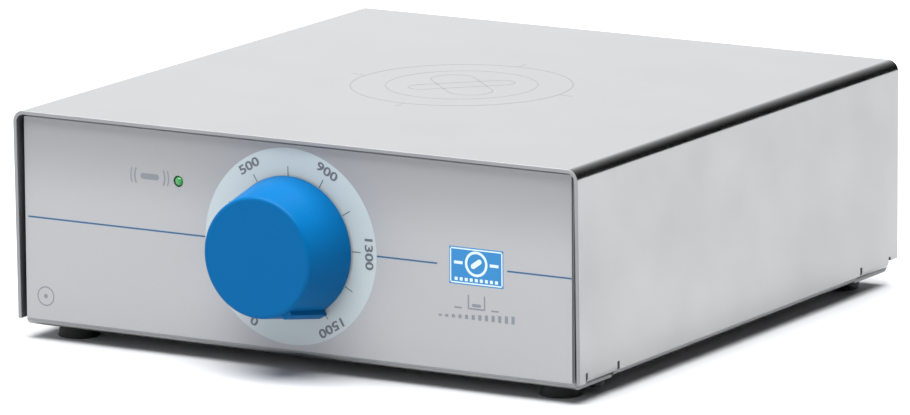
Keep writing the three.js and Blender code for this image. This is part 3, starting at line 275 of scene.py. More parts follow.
# %% Laminated core and winding tape
def make_striped(name, dark, light, pitch, axis, rough, relief, metallic):
    """Lines across one axis, one light and one dark for each pitch, softened by noise."""
    material, tree, shader = start_finish(name, Metallic=metallic)
    place = add_node(tree, "ShaderNodeTexCoord")
    wave = add_node(tree, "ShaderNodeTexWave",
                    {"bands_direction": axis, "Scale": 0.314 / pitch, "Distortion": 0.6,
                     "Detail": 2.0}, {"Vector": place.outputs["Object"]})
    tone = add_node(tree, "ShaderNodeMix", {"data_type": "RGBA", 6: linear(dark), 7: linear(light)},
                    {0: wave.outputs["Fac"]})
    gloss = add_node(tree, "ShaderNodeMapRange", {"To Min": rough[0], "To Max": rough[1]},
                     {"Value": wave.outputs["Fac"]})
    bump = add_node(tree, "ShaderNodeBump", {"Strength": 1.0, "Distance": relief},
                    {"Height": wave.outputs["Fac"]})
    tree.links.new(tone.outputs[2], shader.inputs["Base Color"])
    tree.links.new(gloss.outputs["Result"], shader.inputs["Roughness"])
    tree.links.new(bump.outputs["Normal"], shader.inputs["Normal"])
    return material


LAMINATION = make_striped("silicon_steel_stack", "#35322F", "#5B5753", 0.7 * MM, "Y", (0.4, 0.55),
                          0.05 * MM, 0.8)
WINDING_TAPE = make_striped("polyester_tape_yellow", "#B98F2C", "#CDA540", 4 * MM, "Z", (0.4, 0.5),
                            0.08 * MM, 0.0)
print("striped finishes:", LAMINATION.name, WINDING_TAPE.name)


# %% Glass and the indicator's lens
# Soda-lime glass tube: clear, with slight drawing streaks in its gloss.
GLASS = grained("glass_tube", "#E4ECEC", "#F2F6F6", 1 * MM, (0.02, 0.06), 0.001 * MM, (12, 1, 1),
                Transmission_Weight=1.0, IOR=1.52)
# Green-tinted epoxy, lit from inside, with a milky diffuser in the resin.
GREEN_LENS = grained("epoxy_lens_green", "#2F7A3E", "#3A8649", 0.5 * MM, (0.12, 0.2), 0.002 * MM,
                     IOR=1.54, Emission_Color=linear("#35A850"), Emission_Strength=0.18)
print("clear finishes:", GLASS.name, GREEN_LENS.name)

# %% [markdown]
# ## Turning a mesh into a piece
#
# A finished piece is an object at the origin, with its place in its mesh, one finish, smooth
# faces with sharp creases, and a CAD body to ride on. Sheared and moulded edges are never
# knife sharp, so a live Bevel modifier can round them, and a Weighted Normal modifier keeps
# the big flats flat where they meet a bend.

# %% Pieces
def keep_piece(name, bm, finish, body, replaced=(), edge=0.0, crease=35):
    """Makes bm a named piece on a body. `edge` is the radius its sharp edges are rounded to.
    `finish` is one material, or several that the faces' material numbers choose from."""
    mesh = bpy.data.meshes.new(name)
    bm.to_mesh(mesh)
    bm.free()
    for layer in finish if isinstance(finish, tuple) else (finish,):
        mesh.materials.append(layer)
    mesh.shade_smooth()
    mesh.set_sharp_from_angle(angle=math.radians(crease))
    piece = bpy.data.objects.new(name, mesh)
    bpy.context.scene.collection.objects.link(piece)
    if edge:
        bevel = piece.modifiers.new("rounded_edges", "BEVEL")
        bevel.width = edge
        bevel.segments = 2
        bevel.limit_method = "ANGLE"
        bevel.angle_limit = math.radians(50)
        bevel.harden_normals = True
        bevel.material = len(mesh.materials) - 1
    normals = piece.modifiers.new("flat_faces", "WEIGHTED_NORMAL")
    normals.keep_sharp = True
    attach(piece, body)
    if replaced:
        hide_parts(*replaced)
    print(f"{name}: {len(mesh.polygons)} faces on {body}")
    return piece


def dress(finish, *names):
    """Gives CAD parts whose shape is right a finish."""
    for name in names:
        mesh = nodes[name].data
        mesh.materials.clear()
        mesh.materials.append(finish)


# %% [markdown]
# ## Shapes to start from
#
# Turned parts are an outline of (radius, height) points spun about Z, and holes are cut by a
# Boolean modifier with plain rods and blocks. Those tools are written once, here. The
# outline's round stretches come from `arc`, so an outline lists only its corners. Operators
# give back vertices, edges and faces in one list, so two short functions pick from it.

# %% Picking what an operator gave back
MERGE = 0.001 * MM
TOUCH = 0.01 * MM


def verts_in(geom):
    return [g for g in geom if isinstance(g, bmesh.types.BMVert)]


def edges_in(geom):
    return [g for g in geom if isinstance(g, bmesh.types.BMEdge)]


print("vertices nearer than", MERGE / MM, "mm are merged")


# %% Turned solids
def arc(centre, radius, start, end, steps=6):
    """Points on an arc from one angle to another, in degrees."""
    angles = [math.radians(start + (end - start) * i / steps) for i in range(steps + 1)]
    return [(centre[0] + radius * math.cos(a), centre[1] + radius * math.sin(a)) for a in angles]


def turned(outline, steps=96):
    """A solid of revolution about Z from a closed outline of (radius, height) points."""
    bm = bmesh.new()
    verts = [bm.verts.new((r, 0, z)) for r, z in outline]
    edges = [bm.edges.new(pair) for pair in zip(verts, verts[1:])]
    bmesh.ops.spin(bm, geom=verts + edges, cent=(0, 0, 0), axis=(0, 0, 1), angle=2 * math.pi,
                   steps=steps, use_merge=True)
    bmesh.ops.remove_doubles(bm, verts=bm.verts, dist=MERGE)
    bmesh.ops.recalc_face_normals(bm, faces=bm.faces)
    return bm


# %% Cutting tools
def add_rod(bm, radius, start, end, segments=48):
    """Adds a closed rod between two points."""
    run = Vector(end) - Vector(start)
    turn = run.to_track_quat("Z", "Y").to_matrix().to_4x4()
    place = Matrix.Translation((Vector(start) + Vector(end)) / 2) @ turn
    bmesh.ops.create_cone(bm, cap_ends=True, segments=segments, radius1=radius, radius2=radius,
                          depth=run.length, matrix=place)


def add_block(bm, low, high):
    """Adds a closed block between two corners."""
    middle = (Vector(low) + Vector(high)) / 2
    size = Vector(high) - Vector(low)
    place = Matrix.Translation(middle) @ Matrix.Diagonal((*size, 1))
    bmesh.ops.create_cube(bm, size=1, matrix=place)


def carve(bm, tools, operation="DIFFERENCE"):
    """bm with the tools cut away, or joined on. Both meshes are used up."""
    stand_ins = []
    for shape in (bm, tools):
        mesh = bpy.data.meshes.new("stand_in")
        shape.to_mesh(mesh)
        shape.free()
        stand_ins.append(bpy.data.objects.new("stand_in", mesh))
        bpy.context.scene.collection.objects.link(stand_ins[-1])
    cut = stand_ins[0].modifiers.new("cut", "BOOLEAN")
    cut.operation = operation
    cut.solver = "EXACT"
    cut.object = stand_ins[1]
    result = bmesh.new()
    result.from_object(stand_ins[0], bpy.context.evaluated_depsgraph_get())
    for stand_in in stand_ins:
        bpy.data.meshes.remove(stand_in.data)
    bmesh.ops.remove_doubles(result, verts=result.verts, dist=MERGE)
    return result


print("shape tools ready")

# %% [markdown]
# ## Folding sheet metal
#
# A folded sheet is modelled the way it is made. One vertex is drawn along the section: each
# straight run is an extrusion, each bend a spin about the bend's centre. The line is pulled
# along the sheet's length, faces are deleted where a press would have notched it, and only
# then is it given its thickness, so every corner of the notch goes right through.

# %% Sheet tools
SHEET = 1.2 * MM
BEND_STEPS = 16


def draw_run(bm, geom, step):
    """Extrudes vertices or edges by a step and gives the new end back."""
    edges = edges_in(geom)
    if edges:
        grown = bmesh.ops.extrude_edge_only(bm, edges=edges)["geom"]
    else:
        grown = bmesh.ops.extrude_vert_indiv(bm, verts=verts_in(geom))["verts"]
    bmesh.ops.translate(bm, verts=verts_in(grown), vec=step)
    return edges_in(grown) if edges else verts_in(grown)


def draw_bend(bm, geom, centre, axis, degrees):
    """Spins vertices or edges about a bend's centre and gives the new end back."""
    return bmesh.ops.spin(bm, geom=geom, cent=centre, axis=axis, angle=math.radians(degrees),
                          steps=BEND_STEPS)["geom_last"]


def thicken(bm):
    """Gives the sheet its thickness on the side its faces point away from."""
    bmesh.ops.remove_doubles(bm, verts=bm.verts, dist=MERGE)
    bmesh.ops.recalc_face_normals(bm, faces=bm.faces)
    bmesh.ops.solidify(bm, geom=bm.faces[:], thickness=SHEET)
    bmesh.ops.recalc_face_normals(bm, faces=bm.faces)


def dull_faces(bm, centre, test):
    """Gives the second finish to faces that look inwards or that the test picks."""
    for face in bm.faces:
        middle = face.calc_center_median()
        inwards = face.normal.dot(middle - centre) < 0
        face.material_index = int(inwards or test(middle, face.normal))


print("sheet thickness", SHEET / MM, "mm, bends in", BEND_STEPS, "steps")

# %% [markdown]
# ## The cover
#
# The cover is one sheet: a top plate and two side walls, with a 3.6 mm bend outside. Each
# wall's lower edge is notched near its ends, and a tab there folds under the case and over
# the chassis floor, where a screw holds it. The front edges of the walls lean back a little
# towards the bottom. Half the sheet is enough to draw: the rest is its mirror image.

# %% Cover sizes
cover_low, cover_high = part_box("cover")
chassis_low, chassis_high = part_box("chassis")
case_y = (cover_low.y + cover_high.y) / 2
half_depth = (cover_high.y - cover_low.y) / 2
underside = chassis_low.z
COVER_BEND = 3.6 * MM
FOLD_BEND = 2.4 * MM
WALL_FOOT = underside + 2.6 * MM
FRONT_FOOT = underside + 2 * MM
REAR_FOOT = underside + 4 * MM
TAB_NOTCH = underside + 5.2 * MM
TAB_REACH = 13 * MM
TAB_FAR = half_depth - 6 * MM
TAB_NEAR = TAB_FAR - 18 * MM
RELIEF = 1.2 * MM
SLANT = 1.2 * MM
print("cover", [round(v / MM, 1) for v in cover_high - cover_low], "mm")


# %% The folded cover
def make_cover():
    bm = bmesh.new()
    wall = cover_high.x
    end = [bm.verts.new((wall, cover_low.y, FRONT_FOOT))]
    heights = [WALL_FOOT, REAR_FOOT, TAB_NOTCH, cover_high.z - COVER_BEND]
    for low, high in zip([FRONT_FOOT] + heights, heights):
        end = draw_run(bm, end, (0, 0, high - low))
    end = draw_bend(bm, end, (wall - COVER_BEND, 0, cover_high.z - COVER_BEND), (0, 1, 0), -90)
    draw_run(bm, verts_in(end), (COVER_BEND - wall, 0, 0))
    bmesh.ops.remove_doubles(bm, verts=bm.verts, dist=MERGE)
    marks = [TAB_FAR + RELIEF, TAB_FAR, TAB_NEAR, TAB_NEAR - RELIEF]
    stations = [-half_depth] + [-m for m in marks] + marks[::-1] + [half_depth]
    line = bm.edges[:]
    for start, stop in zip(stations, stations[1:]):
        line = draw_run(bm, line, (0, stop - start, 0))
    notched = []
    for face in bm.faces:
        centre = face.calc_center_median()
        reach = centre.y - case_y
        foot = WALL_FOOT
        if TAB_NEAR - RELIEF < abs(reach) < TAB_FAR + RELIEF:
            foot = TAB_NOTCH
        elif abs(reach) > TAB_FAR:
            foot = FRONT_FOOT if reach < 0 else REAR_FOOT
        if centre.z < foot:
            notched.append(face)
    bmesh.ops.delete(bm, geom=notched, context="FACES")
    fold_tabs(bm, wall)
    plane = Vector((0, half_depth, cover_high.z - COVER_BEND - underside))
    leaning = Vector((0, -plane.z, -SLANT)).normalized()
    bmesh.ops.bisect_plane(bm, geom=bm.verts[:] + bm.edges[:] + bm.faces[:], clear_outer=True,
                           plane_co=(0, cover_low.y, cover_high.z - COVER_BEND), plane_no=leaning)
    bmesh.ops.mirror(bm, geom=bm.verts[:] + bm.edges[:] + bm.faces[:], axis="X",
                     merge_dist=MERGE)
    thicken(bm)
    return bm


def fold_tabs(bm, wall):
    """Folds the two under-tabs in from the notches' upper edges."""
    for side in (-1, 1):
        span = [side * TAB_NEAR, side * TAB_FAR]
        edge = [e for e in bm.edges if all(
            abs(v.co.z - TAB_NOTCH) < TOUCH and min(span) - TOUCH < v.co.y - case_y
            < max(span) + TOUCH for v in e.verts)]
        turn_z = cover_low.z + FOLD_BEND
        end = draw_run(bm, edge, (0, 0, turn_z - TAB_NOTCH))
        end = draw_bend(bm, end, (wall - FOLD_BEND, 0, turn_z), (0, 1, 0), 90)
        edges = edges_in(end)
        draw_run(bm, edges, (FOLD_BEND - TAB_REACH, 0, 0))


cover = make_cover()
print("cover faces", len(cover.faces), "z", round(min(v.co.z for v in cover.verts) / MM, 2))
case_middle = (cover_low + cover_high) / 2
dull_faces(cover, case_middle, lambda at, normal: abs(normal.y) > 0.9 or
           abs(normal.z) > 0.9 and abs(at.x) > cover_high.x - SHEET)
SHEET_EDGE = 0.15 * MM
keep_piece("folded_cover", cover, (STAINLESS, SHEARED), "housing", ["cover"],
           SHEET_EDGE)

# %% [markdown]
# ## The chassis
#
# The chassis is the second sheet: front panel, floor and rear panel in one, with low flanges
# that stand up inside the cover's walls between the tabs. Its holes, for the bush, the
# indicator, the inlet, the switch, every screw and five cooling slots, are cut in one
# Boolean with rods and blocks that take their places from the parts that pass through them.

# %% Chassis sizes
overlay_low, overlay_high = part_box("front_overlay")
knob_low, knob_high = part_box("speed_knob")
FIT = 0.3 * MM
panel_half = overlay_high.x + 0.5 * MM
flange_x = chassis_high.x - FOLD_BEND
flange_end = TAB_NEAR - RELIEF / 2
FLANGE_TOP = underside + 12 * MM
CORNER_CROP = 1.2 * MM
dial_x, dial_z = (knob_low.x + knob_high.x) / 2, (knob_low.z + knob_high.z) / 2
print("dial at", round(dial_x / MM, 2), round(dial_z / MM, 2), "mm")


# %% The folded chassis
def middle_of(name):
    low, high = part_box(name)
    return (low + high) / 2


BUSH_HOLE, LAMP_HOLE, SCREW_HOLE, WIDE_SCREW_HOLE = 4.8 * MM, 1.8 * MM, 1.8 * MM, 2.3 * MM
# How far inside each part's box the shell that passes through the panel starts, in x and z.
SHELLS = {"inlet_body": Vector((10.8, 0, 1.55)) * MM, "switch_body": Vector((1, 0, 1)) * MM}


def chassis_tools():
    """Rods and blocks for every hole in the front, the floor and the rear."""
    bm = bmesh.new()
    deep = 3 * MM
    front, rear = chassis_low.y, chassis_high.y
    led = middle_of("run_led")
    add_rod(bm, BUSH_HOLE, (dial_x, front - deep, dial_z), (dial_x, front + deep, dial_z))
    add_rod(bm, LAMP_HOLE, (led.x, front - deep, led.z), (led.x, front + deep, led.z), 24)
    for name, shell in SHELLS.items():
        low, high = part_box(name)
        add_block(bm, (low.x + shell.x - FIT, rear - deep, low.z + shell.z - FIT),
                  (high.x - shell.x + FIT, rear + deep, high.z - shell.z + FIT))
    for name in [n for n in nodes if "_screw_" in n]:
        at = middle_of(name)
        if name.startswith("inlet"):
            add_rod(bm, SCREW_HOLE, (at.x, rear - deep, at.z), (at.x, rear + deep, at.z), 24)
        elif not name.startswith(("board", "motor")):
            wide = WIDE_SCREW_HOLE if name.startswith(("bracket", "transformer")) else SCREW_HOLE
            add_rod(bm, wide, (at.x, at.y, underside - deep), (at.x, at.y, underside + deep), 24)
    return bm


VENTS = 5
VENT_LENGTH, VENT_WIDTH, VENT_PITCH = 28 * MM, 2.6 * MM, 8 * MM
VENT_X = cover_low.x + 9 * MM + VENT_LENGTH / 2
VENT_Y = case_y - 48 * MM


def vent_tools():
    """Five slots with round ends beside the left wall, each a rod pulled out sideways."""
    bm = bmesh.new()
    radius, sides = VENT_WIDTH / 2, 24
    for i in range(VENTS):
        place = Matrix.Translation((VENT_X, VENT_Y + (i - (VENTS - 1) / 2) * VENT_PITCH, underside))
        place = place @ Matrix.Rotation(math.pi / sides, 4, "Z")
        verts = bmesh.ops.create_cone(bm, cap_ends=True, segments=sides, radius1=radius,
                                      radius2=radius, depth=6 * MM, matrix=place)["verts"]
        for side in (-1, 1):
            half = [v for v in verts if (v.co.x - VENT_X) * side > 0]
            bmesh.ops.translate(bm, verts=half, vec=(side * (VENT_LENGTH - VENT_WIDTH) / 2, 0, 0))
    return bm


def make_chassis():
    bm = bmesh.new()
    front, rear = chassis_low.y, chassis_high.y
    end = [bm.verts.new((-panel_half, front, chassis_high.z))]
    end = draw_run(bm, end, (0, 0, underside + FOLD_BEND - chassis_high.z))
    end = draw_bend(bm, end, (0, front + FOLD_BEND, underside + FOLD_BEND), (1, 0, 0), 90)
    end = verts_in(end)
    marks = [front + FOLD_BEND, case_y - flange_end, case_y + flange_end, rear - FOLD_BEND]
    for start, stop in zip(marks, marks[1:]):
        end = draw_run(bm, end, (0, stop - start, 0))
    end = draw_bend(bm, end, (0, rear - FOLD_BEND, underside + FOLD_BEND), (1, 0, 0), 90)
    draw_run(bm, verts_in(end),
             (0, 0, chassis_high.z - underside - FOLD_BEND))
    bmesh.ops.remove_doubles(bm, verts=bm.verts, dist=MERGE)
    line = bm.edges[:]
    stations = [-panel_half, -flange_x, flange_x, panel_half]
    for start, stop in zip(stations, stations[1:]):
        line = draw_run(bm, line, (stop - start, 0, 0))
    outside = [f for f in bm.faces if abs(f.calc_center_median().x) > flange_x
               and abs(f.calc_center_median().y - case_y) < flange_end
               and f.calc_center_median().z < underside + TOUCH]
    bmesh.ops.delete(bm, geom=outside, context="FACES")
    for side in (-1, 1):
        edge = [e for e in bm.edges if all(abs(v.co.x - side * flange_x) < TOUCH
                                           and v.co.z < underside + TOUCH
                                           and abs(v.co.y - case_y) < flange_end + TOUCH
                                           for v in e.verts)]
        hinge = (side * flange_x, 0, underside + FOLD_BEND)
        end = draw_bend(bm, edge, hinge, (0, 1, 0), -90 * side)
        draw_run(bm, edges_in(end),
                 (0, 0, FLANGE_TOP - underside - FOLD_BEND))
    corners = [v for v in bm.verts if abs(v.co.z - chassis_high.z) < TOUCH
               and abs(abs(v.co.x) - panel_half) < TOUCH]
    bmesh.ops.bevel(bm, geom=corners, offset=CORNER_CROP, segments=1, profile=0.5,
                    affect="VERTICES", material=-1)
    thicken(bm)
    return carve(carve(bm, chassis_tools()), vent_tools())


chassis = make_chassis()
dull_faces(chassis, case_middle, lambda at, normal: abs(normal.x) > 0.9 and
           abs(at.x) > panel_half - FIT or normal.z > 0.9 or normal.y < -0.9)
keep_piece("folded_chassis", chassis, (STAINLESS, SHEARED), "housing", ["chassis"],
           SHEET_EDGE)

# %% [markdown]
# ## The printed overlay
#
# The front overlay is a plastic film, and its part is already the right shape. The printing
# on it is real ink with a little height, so each colour is its own thin closed mesh. Marks
# are drawn flat, x to the right and y upwards from the dial's centre, raised to a film, and
# then stood up against the overlay's face. Rings are two circles bridged, and a stir bar is a
# ring pulled out at both ends. The dial's numbers are text turned into a mesh.

# %% Ink tools
overlay_face = overlay_low.y
FRONT = Matrix.Translation((0, overlay_face, dial_z)) @ Matrix.Rotation(math.pi / 2, 4, "X")
DIAL = FRONT @ Matrix.Translation((dial_x, 0, 0))
INK = 0.03 * MM


def draw_ring(bm, outer, inner=0.0, at=(0, 0), stretch=0.0, turn=0.0, segments=64):
    """A flat ring, or a disc where inner is 0, pulled out sideways by stretch and then turned."""
    place = Matrix.Translation((*at, 0)) @ Matrix.Rotation(turn, 4, "Z")
    half_step = Matrix.Rotation(math.pi / segments, 4, "Z")
    edges, verts = [], []
    for radius in [outer, inner] if inner else [outer]:
        circle = bmesh.ops.create_circle(bm, cap_ends=not inner, segments=segments, radius=radius,
                                         matrix=half_step)["verts"]
        for side in (-1, 1):
            bmesh.ops.translate(bm, verts=[v for v in circle if v.co.x * side > 0],
                                vec=(side * stretch, 0, 0))
        verts += circle
        edges += list({e for v in circle for e in v.link_edges})
    if inner:
        bmesh.ops.bridge_loops(bm, edges=edges)
    bmesh.ops.transform(bm, matrix=place, verts=verts)


def draw_bar(bm, width, height, at=(0, 0), turn=0.0, offset=(0, 0)):
    """A flat rectangle, turned about its place, with an offset before the turn."""
    place = Matrix.Translation((*at, 0)) @ Matrix.Rotation(turn, 4, "Z")
    place = place @ Matrix.Translation((*offset, 0))
    size = Matrix.Diagonal((width / 2, height / 2, 1, 1))
    bmesh.ops.create_grid(bm, x_segments=1, y_segments=1, size=1, matrix=place @ size)


def raise_ink(bm, level=0, place=FRONT):
    """Raises flat marks to a closed film, `level` films above the face, and puts it in place."""
    bmesh.ops.recalc_face_normals(bm, faces=bm.faces)
    grown = bmesh.ops.extrude_face_region(bm, geom=bm.faces[:])["geom"]
    bmesh.ops.translate(bm, verts=verts_in(grown),
                        vec=(0, 0, INK))
    bmesh.ops.translate(bm, verts=bm.verts, vec=(0, 0, (level - 0.5) * INK))
    bmesh.ops.recalc_face_normals(bm, faces=bm.faces)
    bmesh.ops.transform(bm, matrix=place, verts=bm.verts)
    return bm


print("film height", INK / MM, "mm")

# %% [markdown]
# ## The dial
#
# A pale disc sits behind the knob, with a tick every 30 degrees from 0 to full speed and a
# number at every second or fourth one. Each number stands on its own radius with its top
# outwards. The numbers are the scale in turns a minute.

# %% Dial
DIAL_RADIUS, DIAL_BORE = 30.4 * MM, 5.2 * MM
dial = bmesh.new()
draw_ring(dial, DIAL_RADIUS, DIAL_BORE, segments=128)
keep_piece("dial_disc", raise_ink(dial, 0, DIAL), PALE_INK, "housing")

SCALE_TURN = -1.6
TICKS = range(-150, 151, 30)
ticks = bmesh.new()
TICK_WIDTH, TICK_LENGTH, TICK_RADIUS = 0.3 * MM, 3 * MM, 23.3 * MM
for degrees in TICKS:
    turn = -math.radians(degrees + SCALE_TURN)
    draw_bar(ticks, TICK_WIDTH, TICK_LENGTH, turn=turn, offset=(0, TICK_RADIUS))
keep_piece("dial_ticks", raise_ink(ticks, 1, DIAL), GREY_INK, "housing")


# %% Dial numbers
# A figure's height as a share of the font's size, and how much each stroke is thickened.
CAP_SHARE = 0.73
STROKE_GAIN = 0.1 * MM


def text_mesh(words, height, place):
    """Words as a closed film of ink, centred on their place."""
    curve = bpy.data.curves.new("words", "FONT")
    curve.body = words
    curve.size = height / CAP_SHARE
    curve.align_x, curve.align_y = "CENTER", "CENTER"
    curve.extrude = INK / 2
    curve.resolution_u = 4
    curve.offset = STROKE_GAIN
    stand_in = bpy.data.objects.new("words", curve)
    bpy.context.scene.collection.objects.link(stand_in)
    depsgraph = bpy.context.evaluated_depsgraph_get()
    mesh = bpy.data.meshes.new_from_object(stand_in.evaluated_get(depsgraph))
    mesh.transform(place)
    bpy.data.objects.remove(stand_in)
    return mesh


NUMBERS = {-150: "0", -30: "500", 30: "900", 90: "1300", 150: "1500"}
NUMBER_RADIUS, NUMBER_HEIGHT, NUMBER_SPREAD = 27.6 * MM, 2.8 * MM, 1.38
numbers = bmesh.new()
for degrees, words in NUMBERS.items():
    spoke = Matrix.Rotation(-math.radians(degrees + SCALE_TURN), 4, "Z")
    spread = Matrix.Diagonal((NUMBER_SPREAD, 1, 1, 1))
    place = DIAL @ spoke @ Matrix.Translation((0, NUMBER_RADIUS, INK)) @ spread
    numbers.from_mesh(text_mesh(words, NUMBER_HEIGHT, place))
bmesh.ops.remove_doubles(numbers, verts=numbers.verts, dist=MERGE)
keep_piece("dial_numbers", numbers, GREY_INK, "housing")

# %% [markdown]
# ## Line, badge and pictograms
#
# A blue line crosses the panel at dial height, broken by the dial and by a badge. The badge
# is generic: a framed blue tile with a stir bar in a ring, two dashes and a row of squares.
# Beside the indicator a stir bar between two arcs says that it lights while the bar turns.
# Under the badge a beaker with a bar stands over a speed ramp, and a plain ringed dot fills
# the lower left corner.

# %% Line and badge
LINE_Y = 0.1 * MM
LINE_WIDTH = 0.5 * MM
LINE_RUNS = [(-96, -31.6), (29.4, 50.5), (74.8, 97)]
line = bmesh.new()
for start, stop in LINE_RUNS:
    draw_bar(line, (stop - start) * MM, LINE_WIDTH, ((start + stop) / 2 * MM, LINE_Y))
keep_piece("panel_line", raise_ink(line), BLUE_INK, "housing")

BADGE = Vector((64.1, 0.25)) * MM
BADGE_WIDTH, BADGE_HEIGHT = 18.8 * MM, 11.5 * MM
badge = bmesh.new()
draw_bar(badge, BADGE_WIDTH, BADGE_HEIGHT, BADGE)
keep_piece("badge_tile", raise_ink(badge), BADGE_INK, "housing")

emblem = bmesh.new()
EYE = BADGE + Vector((0, 0.9 * MM))
draw_ring(emblem, 3.9 * MM, 3.1 * MM, EYE)
draw_ring(emblem, 0.8 * MM, 0, EYE, 1.3 * MM, math.radians(35), 24)
for side in (-1, 1):
    draw_bar(emblem, 3 * MM, 0.9 * MM, BADGE + Vector((side * 6.2, 0.9)) * MM)
    draw_bar(emblem, BADGE_WIDTH - 1.2 * MM, 0.4 * MM, BADGE + Vector((0, side * 5.2 * MM)))
    draw_bar(emblem, 0.4 * MM, 10 * MM, BADGE + Vector((side * 8.9 * MM, 0)))
for i in range(9):
    draw_bar(emblem, 1 * MM, 1 * MM, BADGE + Vector(((i - 4) * 1.75, -4.1)) * MM)
keep_piece("badge_emblem", raise_ink(emblem, 1), WHITE_INK, "housing")


# %% Pictograms
def draw_arc(bm, radius, width, start, stop, at):
    """A flat arc: one edge spun about its centre, angles in degrees."""
    low = bm.verts.new((at[0] + radius - width / 2, at[1], 0))
    high = bm.verts.new((at[0] + radius + width / 2, at[1], 0))
    edge = bm.edges.new((low, high))
    bmesh.ops.rotate(bm, verts=[low, high], cent=(*at, 0),
                     matrix=Matrix.Rotation(math.radians(start), 3, "Z"))
    bmesh.ops.spin(bm, geom=[edge], cent=(*at, 0), axis=(0, 0, 1),
                   angle=math.radians(stop - start), steps=12)


led_x, led_y = middle_of("run_led").x, middle_of("run_led").z - dial_z
marks = bmesh.new()
RUN_MARK = Vector((led_x - 10.3 * MM, led_y + 0.5 * MM))
draw_ring(marks, 0.95 * MM, 0, RUN_MARK, 2.4 * MM, 0, 24)
for side in (-1, 1):
    start = 90 - 90 * side
    draw_arc(marks, 5.4 * MM, 0.55 * MM, start - 26, start + 26, RUN_MARK)
    draw_arc(marks, 6.8 * MM, 0.45 * MM, start - 20, start + 20, RUN_MARK)

BEAKER = Vector((BADGE.x, BADGE.y - 10.9 * MM))
draw_bar(marks, 5.6 * MM, 0.5 * MM, BEAKER + Vector((0, -2 * MM)))
for side in (-1, 1):
    draw_bar(marks, 0.5 * MM, 4.2 * MM, BEAKER + Vector((side * 2.8 * MM, 0.1 * MM)))
    draw_bar(marks, 2.6 * MM, 0.5 * MM, BEAKER + Vector((side * 6.4 * MM, -2 * MM)))
draw_ring(marks, 0.5 * MM, 0, BEAKER + Vector((0, -0.9 * MM)), 1.1 * MM, 0, 16)

RAMP = Vector((BADGE.x, BADGE.y - 16.2 * MM))
RAMP_BARS = 12
for i in range(RAMP_BARS):
    height = (0.7 + 1.7 * i / (RAMP_BARS - 1)) * MM
    x = (i - (RAMP_BARS - 1) / 2) * 2.3 * MM
    draw_bar(marks, 1.1 * MM, height, RAMP + Vector((x, height / 2)))

CORNER = Vector((-90, -24.5)) * MM
draw_ring(marks, 3.1 * MM, 2.7 * MM, CORNER)
draw_ring(marks, 0.7 * MM, 0, CORNER, segments=24)
keep_piece("panel_marks", raise_ink(marks), SOFT_INK, "housing")

# %% [markdown]
# ## The laser mark on the plate
#
# A faint target on the top plate shows where the magnets turn, so that a vessel can be set
# over them: two rings, four short spokes and the outline of a stir bar.

# %% Centring mark
centre = middle_of("motor_shaft")
TOP = Matrix.Translation((centre.x, centre.y, cover_high.z))
target = bmesh.new()
draw_ring(target, 35 * MM, 34.5 * MM, segments=128)
draw_ring(target, 24 * MM, 23.6 * MM, segments=128)
draw_ring(target, 4.2 * MM, 3.8 * MM, stretch=13 * MM, turn=math.radians(45))
draw_ring(target, 7.2 * MM, 6.8 * MM, stretch=10.6 * MM, turn=math.radians(-45))
for turn in range(4):
    draw_bar(target, 0.4 * MM, 5 * MM, turn=turn * math.pi / 2, offset=(0, 37.5 * MM))
keep_piece("centring_mark", raise_ink(target, 0, TOP), ETCHED, "housing")

# %% [markdown]
# ## The knob
#
# The knob is moulded in blue ABS: a deep tapered cap with a round front rim, hollow behind,
# with a hub bored for the shaft. The outline is spun about its axis and a ridge on the flank,
# the pointer, is joined on by a Boolean union, so the two make one closed skin.

# %% Knob
def make_knob():
    base, face, wall, rim = 22 * MM, 18.8 * MM, 2.2 * MM, 1.1 * MM
    low, top = 0.8 * MM, overlay_face - knob_low.y
    taper = (base - face) / (top - low)
    shaft, hub, hub_foot = 3.1 * MM, 6.2 * MM, 5.3 * MM
    bore_end = overlay_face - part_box("pot_shaft")[0].y + FIT
    inner, lip = top - wall, 0.35 * MM
    body = turned([
        (0, bore_end), (shaft, bore_end), (shaft, hub_foot), (hub, hub_foot), (hub, inner),
        (base - wall - taper * (inner - low), inner), (base - wall, low),
        *arc((base - lip, low + lip), lip, -90, 0, 4),
        *arc((face - rim, top - rim), rim, 0, 90, 10),
        (0, top),
    ], 160)
    ridge = bmesh.new()
    half, proud, tip, length = 1.6 * MM, 1.6 * MM, 1.2 * MM, 17.6 * MM
    root = base - wall / 2
    corners = [(root, low), (base + proud, low), (base - taper * length + tip, low + length),
               (root - taper * length, low + length)]
    ridge.faces.new([ridge.verts.new((-half, y, z)) for y, z in corners])
    pulled = bmesh.ops.extrude_face_region(ridge, geom=ridge.faces[:])["geom"]
    bmesh.ops.translate(ridge, verts=verts_in(pulled),
                        vec=(2 * half, 0, 0))
    bmesh.ops.recalc_face_normals(ridge, faces=ridge.faces)
    crests = []
    for edge in ridge.edges:
        run = edge.verts[1].co - edge.verts[0].co
        if max(v.co.y for v in edge.verts) > base and abs(run.x) < MM and abs(run.z) > MM:
            crests.append(edge)
    bmesh.ops.bevel(ridge, geom=crests, offset=0.3 * MM, segments=3, profile=0.5, affect="EDGES",
                    material=-1)
    bmesh.ops.rotate(ridge, verts=ridge.verts, cent=(0, 0, 0),
                     matrix=Matrix.Rotation(math.radians(-150), 3, "Z"))
    bm = carve(body, ridge, "UNION")
    bmesh.ops.transform(bm, matrix=DIAL, verts=bm.verts)
    return bm


keep_piece("blue_knob", make_knob(), BLUE_ABS, "knob", ["speed_knob"])

# %% [markdown]
# ## Feet and indicator
#
# The feet are moulded rubber, a little wider at the floor, with a pocket for the screw. The
# indicator is a 3 mm lamp whose dome stands just out of the panel. Both are spun outlines.

